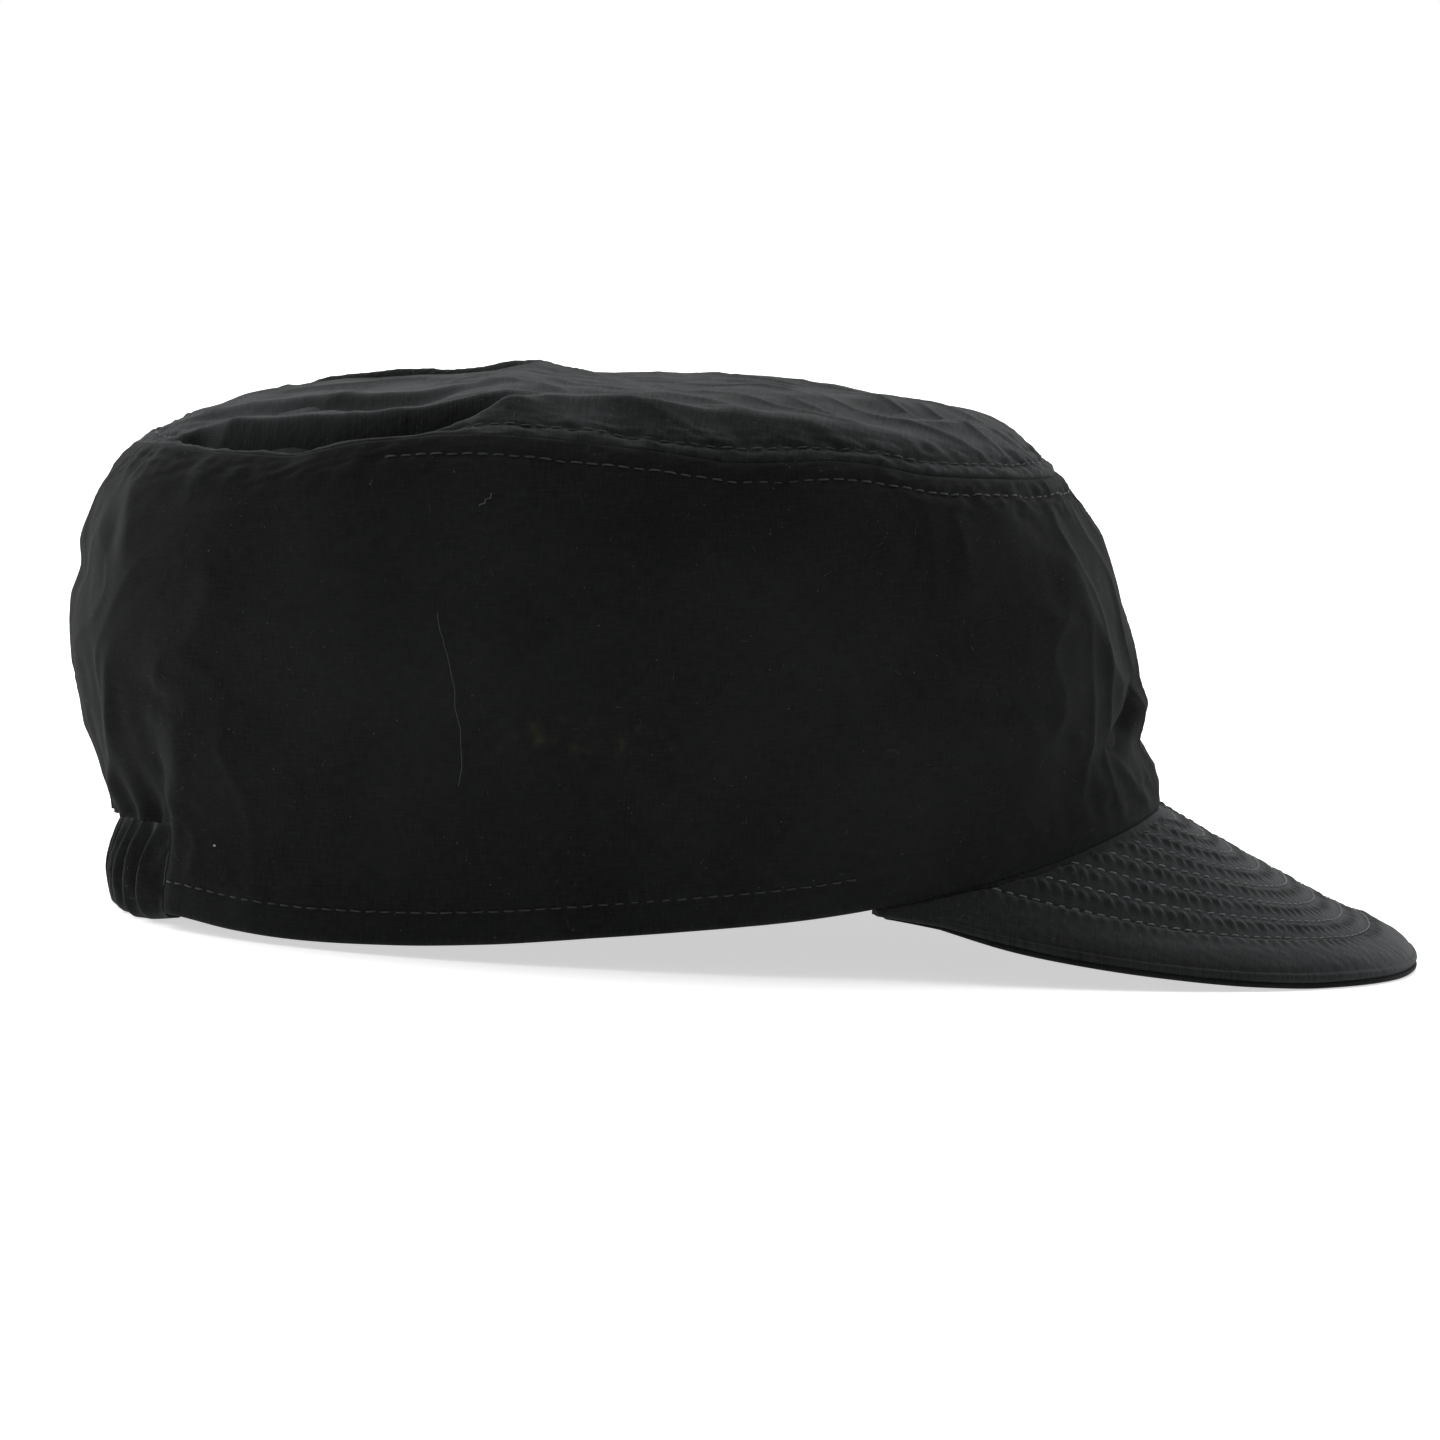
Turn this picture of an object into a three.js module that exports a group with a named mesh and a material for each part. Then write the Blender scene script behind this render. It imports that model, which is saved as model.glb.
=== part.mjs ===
// A cadet cap of thin black cotton: a soft round crown, an upright side wall, a gathered elastic
// casing at the back of the head opening, and a quilted peak of two cloths.
// Millimetres. +X points forward, over the peak, +Y to the wearer's left and +Z up.
// Shapes are worked out around the middle of the head opening, at the height of the ground.

import * as THREE from "three";
import { mergeVertices } from "three/addons/utils/BufferGeometryUtils.js";

// Cloth thicknesses, and the gap that neighbouring pieces keep
const WALL_CLOTH = 1.4;
const HEM_CLOTH = 2.4;
const CROWN_CLOTH = 1.3;
const CASING_DEPTH = 4.0;
const PEAK_CLOTH = 2.0;
const PEAK_CORNER_CLOTH = 1.0;
const UNDER_CLOTH = 1.0;
const GAP = 0.3;

// The plan of the head opening is an oval a little squarer than an ellipse, whose power is 2.
// The elastic draws its back flatter.
const FRONT_POWER = 2.2;
const BACK_POWER = 2.5;

// The side wall's reaches from the middle of the opening. The share is the height from the
// bottom edge, 0, to the crown seam, 1.
const WALL_SECTIONS = [
  { share: 0.00, front: 101.8, back: 100.0, half: 82.0 },
  { share: 0.10, front: 99.6, back: 99.4, half: 82.4 },
  { share: 0.19, front: 98.0, back: 98.8, half: 82.8 },
  { share: 0.27, front: 96.9, back: 101.4, half: 83.2 },
  { share: 0.43, front: 95.3, back: 106.5, half: 83.8 },
  { share: 0.57, front: 93.0, back: 108.4, half: 84.0 },
  { share: 0.76, front: 89.0, back: 107.0, half: 83.0 },
  { share: 0.89, front: 83.7, back: 104.2, half: 80.5 },
  { share: 0.95, front: 81.2, back: 101.4, half: 78.8 },
  { share: 1.00, front: 78.5, back: 97.8, half: 76.0 },
];

// Heights of the side wall's bottom edge and of the crown seam, along the cap
const RIM_HEIGHTS = [
  { x: -105, z: 2.2 },
  { x: -85, z: 2.0 },
  { x: -60, z: 1.2 },
  { x: -42, z: 1.8 },
  { x: -24, z: 3.2 },
  { x: -5, z: 5.5 },
  { x: 15, z: 8.0 },
  { x: 34, z: 10.6 },
  { x: 46, z: 12.8 },
  { x: 75, z: 20.0 },
  { x: 100, z: 28.5 },
];
const SEAM_HEIGHTS = [
  { x: -98, z: 88.5 },
  { x: -84, z: 92.0 },
  { x: -63, z: 94.4 },
  { x: -45, z: 96.0 },
  { x: -26, z: 97.0 },
  { x: 0, z: 96.0 },
  { x: 38, z: 95.2 },
  { x: 50, z: 94.0 },
  { x: 78, z: 91.5 },
];

// Folds of the side wall, each from one angle and share to another. The angle is in degrees
// from the front, plus to the wearer's left. A dent has a height below 0.
const WALL_FOLDS = [
  { fromAngle: -38, fromShare: 0.92, toAngle: -22, toShare: 0.30, height: 1.5, width: 7 },
  { fromAngle: 30, fromShare: 0.85, toAngle: 20, toShare: 0.30, height: 1.2, width: 8 },
  { fromAngle: -30, fromShare: 0.28, toAngle: -22, toShare: 0.08, height: -2.2, width: 6 },
  { fromAngle: -14, fromShare: 0.31, toAngle: 14, toShare: 0.31, height: 1.2, width: 5 },
  { fromAngle: -18, fromShare: 0.18, toAngle: 16, toShare: 0.20, height: -1.0, width: 4 },
  { fromAngle: -52, fromShare: 0.36, toAngle: -42, toShare: 0.32, height: -1.2, width: 6 },
  { fromAngle: -156, fromShare: 0.95, toAngle: -158, toShare: 0.66, height: 1.4, width: 8 },
  { fromAngle: -166, fromShare: 0.48, toAngle: -160, toShare: 0.24, height: 1.4, width: 7 },
  { fromAngle: -150, fromShare: 0.34, toAngle: -152, toShare: 0.22, height: -2.4, width: 9 },
  { fromAngle: 152, fromShare: 0.36, toAngle: 150, toShare: 0.22, height: -2.0, width: 9 },
  { fromAngle: 164, fromShare: 0.80, toAngle: 158, toShare: 0.35, height: 1.2, width: 8 },
  { fromAngle: 170, fromShare: 0.66, toAngle: 188, toShare: 0.62, height: -1.4, width: 6 },
];
const FOLD_RADIUS = 92;
const FOLD_HEIGHT = 78;

// The crown: how square its shoulder is, the outer share of it whose folds the seam holds back,
// and heights of its middle line along the cap
const CROWN_MIDDLE = -10.0;
const CROWN_POWER = 7.0;
const SEAM_HOLD = 0.15;
const CROWN_HEIGHTS = [
  { x: -92, z: 96.2 },
  { x: -80, z: 98.0 },
  { x: -70, z: 99.4 },
  { x: -58, z: 101.6 },
  { x: -46, z: 103.4 },
  { x: -24, z: 105.0 },
  { x: 0, z: 104.9 },
  { x: 20, z: 105.6 },
  { x: 46, z: 104.4 },
  { x: 70, z: 104.2 },
];

// Folds of the crown, each between two points of its plan. A dent has a height below 0.
const CROWN_FOLDS = [
  { fromX: -82, fromY: -32, toX: -42, toY: -49, height: -4.0, width: 17 },
  { fromX: -72, fromY: -45, toX: -42, toY: -61, height: -5.0, width: 8 },
  { fromX: -84, fromY: -35, toX: -36, toY: -56, height: 1.6, width: 5 },
  { fromX: -78, fromY: -16, toX: -36, toY: -30, height: 1.4, width: 6 },
  { fromX: -78, fromY: 8, toX: -30, toY: -8, height: 1.4, width: 8 },
  { fromX: -74, fromY: 24, toX: -28, toY: 8, height: -1.8, width: 8 },
  { fromX: -72, fromY: 38, toX: -28, toY: 24, height: 1.2, width: 8 },
  { fromX: -24, fromY: -48, toX: -26, toY: 20, height: 1.2, width: 12 },
  { fromX: 52, fromY: -36, toX: 64, toY: -14, height: 1.2, width: 6 },
  { fromX: 44, fromY: -30, toX: 54, toY: -8, height: -1.0, width: 6 },
];

// The elastic casing takes the lower share of the side wall's height at the back. Its profile
// goes from the hem, 0, to the pinched line, 1.
const CASING_SHARE = 0.19;
const CASING_HALF_ANGLE = 36;
const CASING_GATHERS = 14;
const GATHER_DEPTH = 1.5;
const CASING_PROFILE = [
  { share: 0.00, out: -0.6 },
  { share: 0.05, out: 0.4 },
  { share: 0.14, out: 1.5 },
  { share: 0.30, out: 1.9 },
  { share: 0.60, out: 1.2 },
  { share: 1.00, out: 0.0 },
];

// The peak: where its corners are, in degrees from the front, the outline of its outer edge, the
// heights of that edge from near the corners, 0, to the tip, 1, and the rise of its upper cloth
// above a straight line from the seam, 0, to the outer edge, 1
const PEAK_CORNER_ANGLE = 63;
const UNDER_CORNER_ANGLE = 58.5;
const PEAK_REACH = 152.5;
const PEAK_POWER = 2.4;
const PEAK_HEIGHTS = [
  { share: 0.11, z: 9.2 },
  { share: 0.30, z: 5.0 },
  { share: 0.50, z: 2.2 },
  { share: 0.70, z: 0.4 },
  { share: 0.80, z: 0.0 },
  { share: 0.95, z: 0.0 },
  { share: 1.00, z: 0.3 },
];
const PEAK_RISES = [
  { share: 0.00, rise: 0.0 },
  { share: 0.30, rise: -0.4 },
  { share: 0.65, rise: -0.5 },
  { share: 0.90, rise: 0.3 },
  { share: 0.96, rise: 0.5 },
  { share: 1.00, rise: 0.0 },
];

// Steps of the faceted skins, from each piece's lower or outer edge. The peak's last step, below
// 0, is the edge that is sewn in under the side wall.
const WALL_COLUMNS = 80;
const WALL_STEPS = [0, 0.08, CASING_SHARE, 0.27, 0.35, 0.43, 0.51, 0.59, 0.68, 0.77, 0.85, 0.92, 0.97, 1];
const CROWN_COLUMNS = 60;
const CROWN_STEPS = [1, 0.96, 0.91, 0.85, 0.77, 0.64, 0.48, 0.3, 0.14, 0];
const CASING_COLUMNS = CASING_GATHERS * 4;
const CASING_STEPS = CASING_PROFILE.map((row) => row.share);
const PEAK_COLUMNS = 28;
const UNDER_COLUMNS = 26;
const PEAK_STEPS = [1, 0.96, 0.9, 0.72, 0.5, 0.25, 0, -1];

const { abs, cos, sin, sqrt, exp, hypot, min, max, PI } = Math;
const { clamp, lerp, degToRad } = THREE.MathUtils;

// A smooth curve through one column of a table, which never swings past its rows.
function curve(rows, from, to) {
  const at = rows.map((row) => row[from]);
  const value = rows.map((row) => row[to]);
  const last = rows.length - 1;
  const step = at.slice(1).map((next, k) => next - at[k]);
  const rate = step.map((width, k) => (value[k + 1] - value[k]) / width);
  const slope = at.map((_, k) => {
    if (k === 0) return rate[0];
    if (k === last) return rate[last - 1];
    if (rate[k - 1] * rate[k] <= 0) return 0;
    const before = 2 * step[k] + step[k - 1];
    const after = step[k] + 2 * step[k - 1];
    return (before + after) / (before / rate[k - 1] + after / rate[k]);
  });
  return (where) => {
    const x = clamp(where, at[0], at[last]);
    const k = clamp(at.filter((row) => row <= x).length - 1, 0, last - 1);
    const t = (x - at[k]) / step[k];
    return value[k] * (1 + 2 * t) * (1 - t) ** 2 + slope[k] * step[k] * t * (1 - t) ** 2
      + value[k + 1] * t * t * (3 - 2 * t) + slope[k + 1] * step[k] * t * t * (t - 1);
  };
}

const wallFront = curve(WALL_SECTIONS, "share", "front");
const wallBack = curve(WALL_SECTIONS, "share", "back");
const wallHalf = curve(WALL_SECTIONS, "share", "half");
const rimHeight = curve(RIM_HEIGHTS, "x", "z");
const seamHeight = curve(SEAM_HEIGHTS, "x", "z");
const crownHeight = curve(CROWN_HEIGHTS, "x", "z");
const casingOut = curve(CASING_PROFILE, "share", "out");
const peakRise = curve(PEAK_RISES, "share", "rise");

// A point of an oval with unlike front and back reaches, at an angle in radians from the front.
function oval(angle, front, back, half, frontPower, backPower) {
  const c = cos(angle);
  const s = sin(angle);
  const power = c > 0 ? frontPower : backPower;
  const r = (abs(c) ** power + abs(s) ** power) ** (-1 / power);
  return [(c > 0 ? front : back) * c * r, half * s * r];
}

// The oval of the side wall at some share of its height, moved in by a depth.
function wallOval(angle, share, depth) {
  return oval(angle, wallFront(share) - depth, wallBack(share) - depth, wallHalf(share) - depth,
    FRONT_POWER, BACK_POWER);
}

// The peak's corner lies against the seam, so its edge starts there.
const [peakCornerX, peakCornerY] = wallOval(degToRad(PEAK_CORNER_ANGLE), 0, 0);
const peakCornerZ = rimHeight(peakCornerX) - GAP - PEAK_CORNER_CLOTH;
const peakHeight = curve([{ share: 0, z: peakCornerZ }, ...PEAK_HEIGHTS], "share", "z");

// The push of one fold at a point: full along the fold's line, and fading smoothly beside it.
function foldPush(x, y, fromX, fromY, toX, toY, height, width) {
  const lengthSquared = (toX - fromX) ** 2 + (toY - fromY) ** 2;
  const t = clamp(((x - fromX) * (toX - fromX) + (y - fromY) * (toY - fromY)) / lengthSquared, 0, 1);
  const away = hypot(x - lerp(fromX, toX, t), y - lerp(fromY, toY, t));
  return height * exp(-((away / width) ** 2));
}

// The push of all the side wall's folds, which leave its bottom edge and its seam in place.
function wallPush(angle, share) {
  const girth = (degrees) => degToRad(degrees) * FOLD_RADIUS;
  let push = 0;
  for (const fold of WALL_FOLDS) {
    for (const turn of [-2 * PI, 0, 2 * PI]) {
      push += foldPush((angle + turn) * FOLD_RADIUS, share * FOLD_HEIGHT,
        girth(fold.fromAngle), fold.fromShare * FOLD_HEIGHT,
        girth(fold.toAngle), fold.toShare * FOLD_HEIGHT, fold.height, fold.width);
    }
  }
  return push * sqrt(1 - share ** 6) * min(1, share / 0.05);
}

// A point of the side wall, at a depth under its outer face.
function wallPoint(angle, share, depth) {
  const [x, y] = wallOval(angle, share, depth);
  const foot = rimHeight(wallOval(angle, 0, 0)[0]);
  const top = seamHeight(wallOval(angle, 1, 0)[0]);
  const push = wallPush(angle, share);
  return [x + push * cos(angle), y + push * sin(angle), lerp(foot, top, share)];
}

// A point of the crown, at a depth under its outer face. The share is 0 in the crown's middle
// and 1 at its seam.
function crownPoint(angle, share, depth) {
  const [outerX, outerY] = wallOval(angle, 1, 0);
  const [edgeX, edgeY] = wallOval(angle, 1, depth);
  const x = lerp(CROWN_MIDDLE, edgeX, share);
  const foldX = lerp(CROWN_MIDDLE, outerX, share);
  let push = 0;
  for (const fold of CROWN_FOLDS) {
    push += foldPush(foldX, outerY * share,
      fold.fromX, fold.fromY, fold.toX, fold.toY, fold.height, fold.width);
  }
  const seam = seamHeight(outerX) + GAP;
  const dome = 1 - share ** CROWN_POWER;
  const held = min(1, (1 - share) / SEAM_HOLD);
  return [x, edgeY * share, seam + (crownHeight(foldX) - depth - seam) * dome + push * held];
}

// A point of the casing, whose cloth is drawn up in even gathers. Across is 0 and 1 at its ends.
function casingPoint(across, share, isOuter) {
  const halfAngle = degToRad(CASING_HALF_ANGLE) - (2 * GAP) / FOLD_RADIUS;
  const angle = PI + lerp(-halfAngle, halfAngle, across);
  const fullness = sin(PI * lerp(0.1, 1, share));
  const gather = (GATHER_DEPTH / 2) * (cos(2 * PI * CASING_GATHERS * across) + 1) * fullness;
  const depth = isOuter ? gather - casingOut(share) : CASING_DEPTH;
  const [x, y] = wallOval(angle, CASING_SHARE * share, depth);
  const top = wallPoint(angle, CASING_SHARE, 0)[2] - GAP;
  return [x, y, top * share];
}

// The thickness of the peak's upper cloth, which thins to its corners.
function peakCloth(angle) {
  const fromCorner = (PEAK_CORNER_ANGLE - abs(THREE.MathUtils.radToDeg(angle))) / 12;
  return lerp(PEAK_CORNER_CLOTH, PEAK_CLOTH, clamp(fromCorner, 0, 1));
}

// A point of the peak's upper face. The share is 0 at the seam with the side wall, 1 at the
// outer edge, and -1 at the edge that is sewn in.
function peakPoint(angle, share) {
  const [seamX, seamY] = wallOval(angle, 0, 0);
  const seamZ = rimHeight(seamX) - GAP;
  if (share < 0) {
    const [hemX, hemY] = wallOval(angle, 0, -share * HEM_CLOTH);
    return [hemX, hemY, seamZ];
  }
  const length = PEAK_REACH - peakCornerX;
  const turn = (angle / degToRad(PEAK_CORNER_ANGLE)) * (PI / 2);
  const [pastCorner, edgeY] = oval(turn, length, length, peakCornerY, PEAK_POWER, PEAK_POWER);
  const tipShare = max(0, pastCorner / length);
  const underCloth = (GAP + UNDER_CLOTH) * min(1, tipShare / 0.11);
  const edgeZ = peakHeight(tipShare) + underCloth + peakCloth(angle);
  return [
    lerp(seamX, peakCornerX + pastCorner, share),
    lerp(seamY, edgeY, share),
    lerp(seamZ, edgeZ, share) + peakRise(share) * tipShare,
  ];
}

// A closed shell between two skins of the same grid. Columns run around the cap and rows run
// from the lower or outer edge up. The strips along all free edges close it.
function shellGeometry(columns, rows, isLoop, skinPoint, hasCell = () => true) {
  const width = isLoop ? columns : columns + 1;
  const positions = [];
  for (const isOuter of [true, false]) {
    for (let row = 0; row <= rows; row += 1) {
      for (let column = 0; column < width; column += 1) {
        positions.push(...skinPoint(column, row, isOuter));
      }
    }
  }
  const outer = (column, row) => row * width + (column % width);
  const inner = (column, row) => outer(column, row) + width * (rows + 1);
  const index = [];
  const quad = (a, b, c, d) => index.push(a, b, c, a, c, d);
  const isCell = (column, row) => {
    const wrapped = isLoop ? (column + columns) % columns : column;
    return row >= 0 && row < rows && wrapped >= 0 && wrapped < columns && hasCell(wrapped, row);
  };
  for (let row = 0; row < rows; row += 1) {
    for (let column = 0; column < columns; column += 1) {
      if (!isCell(column, row)) continue;
      const corners = [[column, row], [column + 1, row], [column + 1, row + 1], [column, row + 1]];
      const beyond = [[column, row - 1], [column + 1, row], [column, row + 1], [column - 1, row]];
      quad(...corners.map((corner) => outer(...corner)));
      quad(...corners.map((corner) => inner(...corner)).reverse());
      beyond.forEach((cell, side) => {
        if (isCell(...cell)) return;
        const from = corners[side];
        const to = corners[(side + 1) % 4];
        quad(outer(...to), outer(...from), inner(...from), inner(...to));
      });
    }
  }
  return closedGeometry(positions, index);
}

// A geometry whose shared corners are merged, without the triangles that this leaves flat.
function closedGeometry(positions, index) {
  const raw = new THREE.BufferGeometry();
  raw.setAttribute("position", new THREE.Float32BufferAttribute(positions, 3));
  raw.setIndex(index);
  const merged = mergeVertices(raw, 1e-4);
  const corners = merged.getIndex().array;
  const kept = [];
  for (let k = 0; k < corners.length; k += 3) {
    const [a, b, c] = corners.slice(k, k + 3);
    if (a !== b && b !== c && c !== a) kept.push(a, b, c);
  }
  merged.setIndex(kept);
  merged.computeVertexNormals();
  return merged;
}

function sideWallGeometry() {
  const step = (2 * PI) / WALL_COLUMNS;
  const cloth = WALL_STEPS.map((share) => (share < CASING_SHARE ? HEM_CLOTH : WALL_CLOTH));
  const isOverCasing = (column) => abs((column + 0.5) * step - PI) < degToRad(CASING_HALF_ANGLE);
  return shellGeometry(WALL_COLUMNS, WALL_STEPS.length - 1, true,
    (column, row, isOuter) => wallPoint(column * step, WALL_STEPS[row], isOuter ? 0 : cloth[row]),
    (column, row) => !(isOverCasing(column) && WALL_STEPS[row] < CASING_SHARE));
}

function crownGeometry() {
  const step = (2 * PI) / CROWN_COLUMNS;
  return shellGeometry(CROWN_COLUMNS, CROWN_STEPS.length - 1, true,
    (column, row, isOuter) => crownPoint(column * step, CROWN_STEPS[row], isOuter ? 0 : CROWN_CLOTH));
}

function casingGeometry() {
  return shellGeometry(CASING_COLUMNS, CASING_STEPS.length - 1, false,
    (column, row, isOuter) => casingPoint(column / CASING_COLUMNS, CASING_STEPS[row], isOuter));
}

// One of the peak's two cloths: how far its upper and lower faces lie under the peak's surface.
function peakGeometry(cornerAngle, columns, topDepth, bottomDepth) {
  const corner = degToRad(cornerAngle);
  return shellGeometry(columns, PEAK_STEPS.length - 1, false, (column, row, isOuter) => {
    const angle = lerp(-corner, corner, column / columns);
    const [x, y, z] = peakPoint(angle, PEAK_STEPS[row]);
    return [x, y, z - (isOuter ? topDepth(angle) : bottomDepth(angle))];
  });
}

const peakTopGeometry = () =>
  peakGeometry(PEAK_CORNER_ANGLE, PEAK_COLUMNS, () => 0, peakCloth);

const peakUndersideGeometry = () =>
  peakGeometry(UNDER_CORNER_ANGLE, UNDER_COLUMNS,
    (angle) => peakCloth(angle) + GAP, (angle) => peakCloth(angle) + GAP + UNDER_CLOTH);

const PIECES = [
  { name: "crown_top", color: 0x26282a, geometry: crownGeometry() },
  { name: "side_wall", color: 0x191b1c, geometry: sideWallGeometry() },
  { name: "elastic_casing", color: 0x1d1f20, geometry: casingGeometry() },
  { name: "peak_top", color: 0x222426, geometry: peakTopGeometry() },
  { name: "peak_underside", color: 0x141516, geometry: peakUndersideGeometry() },
];

const cap = new THREE.Group();
for (const { name, color, geometry } of PIECES) {
  const cloth = new THREE.MeshStandardMaterial({ color, roughness: 0.95, metalness: 0 });
  const mesh = new THREE.Mesh(geometry, cloth);
  mesh.name = name;
  cap.add(mesh);
}

// The origin is the middle of the whole cap's box, on the ground.
const box = new THREE.Box3().setFromObject(cap, true);
cap.position.set(-(box.min.x + box.max.x) / 2, -(box.min.y + box.max.y) / 2, -box.min.z);

export default cap;
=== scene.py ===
import math

import bpy
import numpy as np
from mathutils import Matrix, Vector


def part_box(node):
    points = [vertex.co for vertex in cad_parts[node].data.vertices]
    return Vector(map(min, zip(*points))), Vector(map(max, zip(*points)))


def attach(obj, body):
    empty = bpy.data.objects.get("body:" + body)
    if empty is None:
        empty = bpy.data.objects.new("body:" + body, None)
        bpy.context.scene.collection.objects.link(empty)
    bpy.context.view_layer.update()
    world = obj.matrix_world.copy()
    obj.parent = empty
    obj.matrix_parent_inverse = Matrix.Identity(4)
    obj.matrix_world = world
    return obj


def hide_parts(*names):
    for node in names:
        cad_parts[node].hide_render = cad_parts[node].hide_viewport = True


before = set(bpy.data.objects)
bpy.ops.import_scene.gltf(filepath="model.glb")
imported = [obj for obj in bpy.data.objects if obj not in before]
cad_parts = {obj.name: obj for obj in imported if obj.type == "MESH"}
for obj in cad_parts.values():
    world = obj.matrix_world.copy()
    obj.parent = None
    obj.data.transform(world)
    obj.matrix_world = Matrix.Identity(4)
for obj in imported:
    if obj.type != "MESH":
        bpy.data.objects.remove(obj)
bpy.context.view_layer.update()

MM = 0.001
TURN = 2 * np.pi


def table(names, *rows):
    """Rows under named columns, as an array for each column."""
    return dict(zip(names.split(), np.array(rows, float).T))


def groups(names, *parts):
    """Several tables with the same columns."""
    return [table(names, *rows) for rows in parts]


# The construction, as in the CAD: millimetres around the middle of the head opening.
HEM_CLOTH = 2.4
WALL_CLOTH = 1.4
CROWN_CLOTH = 1.3
SEAM_CLOTH = 0.9
SEAM_DROP = 0.4
PEAK_CLOTH = 2.0
PEAK_CORNER_CLOTH = 1.0
UNDER_CLOTH = 1.0
GAP = 0.3
FRONT_POWER = 2.2
BACK_POWER = 2.5
CASING_SHARE = 0.19
CASING_HALF_ANGLE = 36
CASING_GATHERS = 14
PEAK_CORNER_ANGLE = 63
UNDER_CORNER_ANGLE = 62.4
PEAK_REACH = 152.5
PEAK_POWER = 2.4
CROWN_MIDDLE = -10.0
CROWN_POWER = 7.0
SEAM_HOLD = 0.15
HEM_LIFT = 0.6
HEM_LIFT_PAST = 3
HEM_LIFT_WIDTH = 6
RIDGE_POWER = 1.5
DENT_POWER = 2.0
FOLD_RADIUS = 92
WALL_HEIGHT = 92
FOLD_HOLD = 0.05
UNDER_TAPER = 0.11
CORNER_TAPER = 12
WALL_SECTIONS = table(
    "share front back half",
    (0.00, 101.8, 100.0, 82.0),
    (0.10, 99.6, 99.4, 82.4),
    (0.19, 98.0, 98.8, 82.8),
    (0.27, 96.9, 101.4, 83.2),
    (0.43, 95.3, 106.5, 83.8),
    (0.57, 93.0, 108.4, 84.0),
    (0.76, 89.0, 107.0, 83.0),
    (0.89, 83.7, 104.2, 80.5),
    (0.95, 81.2, 101.4, 78.8),
    (1.00, 78.5, 97.8, 76.0),
)
RIM_HEIGHTS = table(
    "x z", (-105, 2.2), (-85, 2.0), (-60, 1.2), (-42, 1.8), (-24, 3.2), (-5, 5.5), (15, 8.0),
    (34, 10.6), (46, 12.8), (75, 20.0), (100, 28.5),
)
SEAM_HEIGHTS = table(
    "x z", (-98, 88.5), (-84, 92.0), (-63, 94.4), (-45, 96.0), (-26, 97.0), (0, 96.0), (38, 95.2),
    (50, 94.0), (78, 91.5),
)
CROWN_HEIGHTS = table(
    "x z", (-92, 96.2), (-80, 98.0), (-70, 99.4), (-58, 101.6), (-46, 103.4), (-24, 105.0),
    (0, 104.9), (20, 105.6), (46, 104.4), (70, 104.2),
)
PEAK_HEIGHTS = table(
    "share z", (0.11, 9.2), (0.30, 5.0), (0.50, 2.2), (0.70, 0.4), (0.80, 0.0), (0.95, 0.0), (1.00, 0.3),
)
PEAK_RISES = table(
    "share rise", (0.00, 0.0), (0.30, -0.4), (0.65, -0.5), (0.90, 0.3), (0.96, 0.3), (1.00, 0.0),
)
SEAM_DIPS = table(
    "x dip", (-95, 0.0), (-88, -1.2), (-82, -2.6), (-72, -3.4), (-66, -3.8), (-60, -2.8), (-53, -1.5),
    (-45, -0.9), (-38, -0.2), (-28, 0.0), (0, -0.3), (8, -0.8), (16, -1.5), (26, -0.8), (36, 0.0),
    (45, -0.2), (52, -0.8), (64, -0.4), (78, 0.0),
)
CASING_PROFILE = table(
    "share out", (0.00, -0.6), (0.05, 0.4), (0.14, 1.5), (0.30, 1.9), (0.60, 1.2), (1.00, 0.0),
)

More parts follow.
